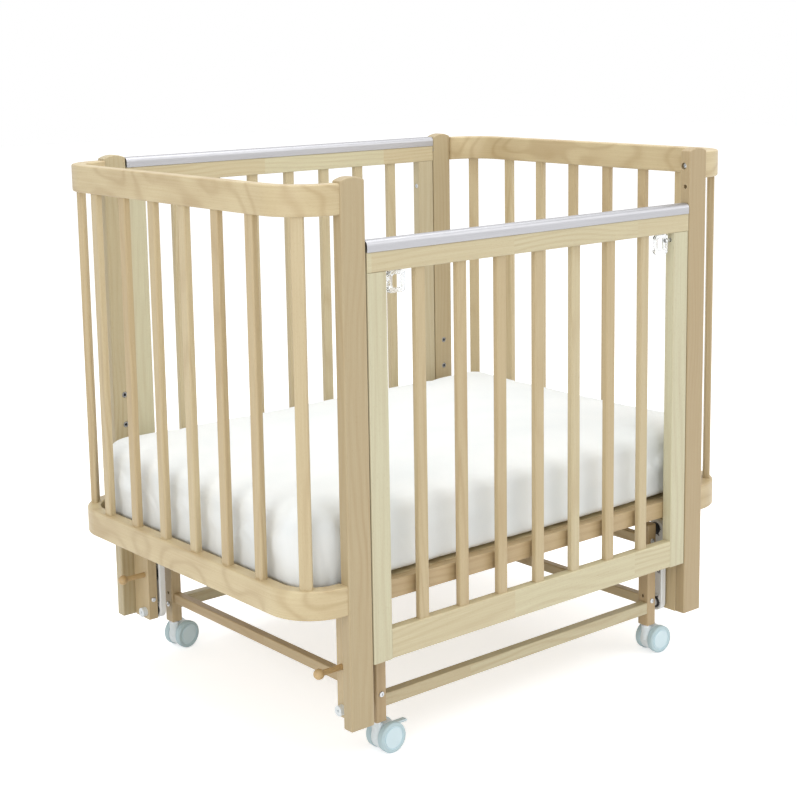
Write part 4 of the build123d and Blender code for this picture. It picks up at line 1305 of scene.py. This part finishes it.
@dataclass
class Studio:
    """The pale floor, the soft lamps, the white surround and the photograph's camera."""

    place: Triple = (-1.82054, -2.18845, 1.11714)
    turn: Triple = (80.6409, 0.8501, -39.9453)
    lens: float = 72.935
    shift: tuple[float, float] = (-0.0078, -0.1197)
    floor_half: float = 14.0
    floor_level: float = -0.0003
    ambient: float = 0.66
    lamps: tuple = (
        ("overhead", (0.3, -0.2, 3.2), (0.0, 0.0, 0.4), 3.0, 58.0),
        ("front_right", (2.6, -3.0, 2.2), (0.0, 0.0, 0.5), 2.6, 34.0),
        ("front_left", (-3.2, -1.6, 1.8), (0.0, 0.0, 0.5), 2.6, 46.0),
    )

    def camera(self) -> None:
        """Sets the camera where the photograph was taken from."""
        data = bpy.data.cameras.new("photo_camera")
        data.lens = self.lens
        data.sensor_width = 36.0
        data.shift_x, data.shift_y = self.shift
        data.clip_start, data.clip_end = 0.05, 60.0
        camera = place_piece("photo_camera", data)
        camera.location = self.place
        camera.rotation_euler = [math.radians(angle) for angle in self.turn]
        bpy.context.scene.camera = camera

    def light(self) -> None:
        """Adds the soft lamps and the surround."""
        for name, place, target, size, power in self.lamps:
            data = bpy.data.lights.new(name, "AREA")
            data.shape = "SQUARE"
            data.size = size
            data.energy = power
            lamp = place_piece(name, data)
            lamp.location = place
            aim = Vector(target) - Vector(place)
            lamp.rotation_euler = aim.to_track_quat("-Z", "Y").to_euler()
        world = bpy.data.worlds.new("white_surround")
        world.use_nodes = True
        world.node_tree.nodes.clear()
        bench = NodeBench(world.node_tree)
        output = bench.add("ShaderNodeOutputWorld")
        back = bench.add("ShaderNodeBackground")
        path = bench.add("ShaderNodeLightPath")
        seen = bench.math("MAXIMUM", path.outputs["Is Camera Ray"], path.outputs["Is Transmission Ray"])
        glossy = bench.math("MULTIPLY", path.outputs["Is Glossy Ray"], 0.9)
        seen = bench.math("MAXIMUM", seen, glossy)
        strength = bench.math("MULTIPLY_ADD", seen, 1.0 - self.ambient, self.ambient)
        bench.fill(back, Color=WHITE, Strength=strength)
        world.node_tree.links.new(back.outputs[0], output.inputs["Surface"])
        bpy.context.scene.world = world

    def floor(self, palette: Palette) -> None:
        """Lays the pale floor."""
        half = self.floor_half
        mesh = bpy.data.meshes.new("studio_floor")
        corners = [(x * half, y * half, self.floor_level) for x, y in ((-1, -1), (1, -1), (1, 1), (-1, 1))]
        mesh.from_pydata(corners, [], [(0, 1, 2, 3)])
        mesh.materials.append(palette.get("studio_floor"))
        piece = place_piece("studio_floor", mesh)

    def build(self, palette: Palette) -> None:
        """Makes everything round the object."""
        self.camera()
        self.light()
        self.floor(palette)
        bpy.context.scene.view_settings.view_transform = "Standard"
        log.info("studio ready")


def main() -> None:
    """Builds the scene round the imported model."""
    logging.basicConfig(level=logging.INFO, format="%(name)s: %(message)s")
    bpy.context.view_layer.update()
    palette = Palette()
    dresser = Dresser(frame["nodes"], palette)
    Studio().build(palette)
    for assembly in (CribBody(), DropSide(), SwingGear(), Casters()):
        assembly.dress(dresser)
    Hardware().build(palette)
    Mattress().build(frame["nodes"]["mattress"], palette)


if __name__ == "__main__":
    main()
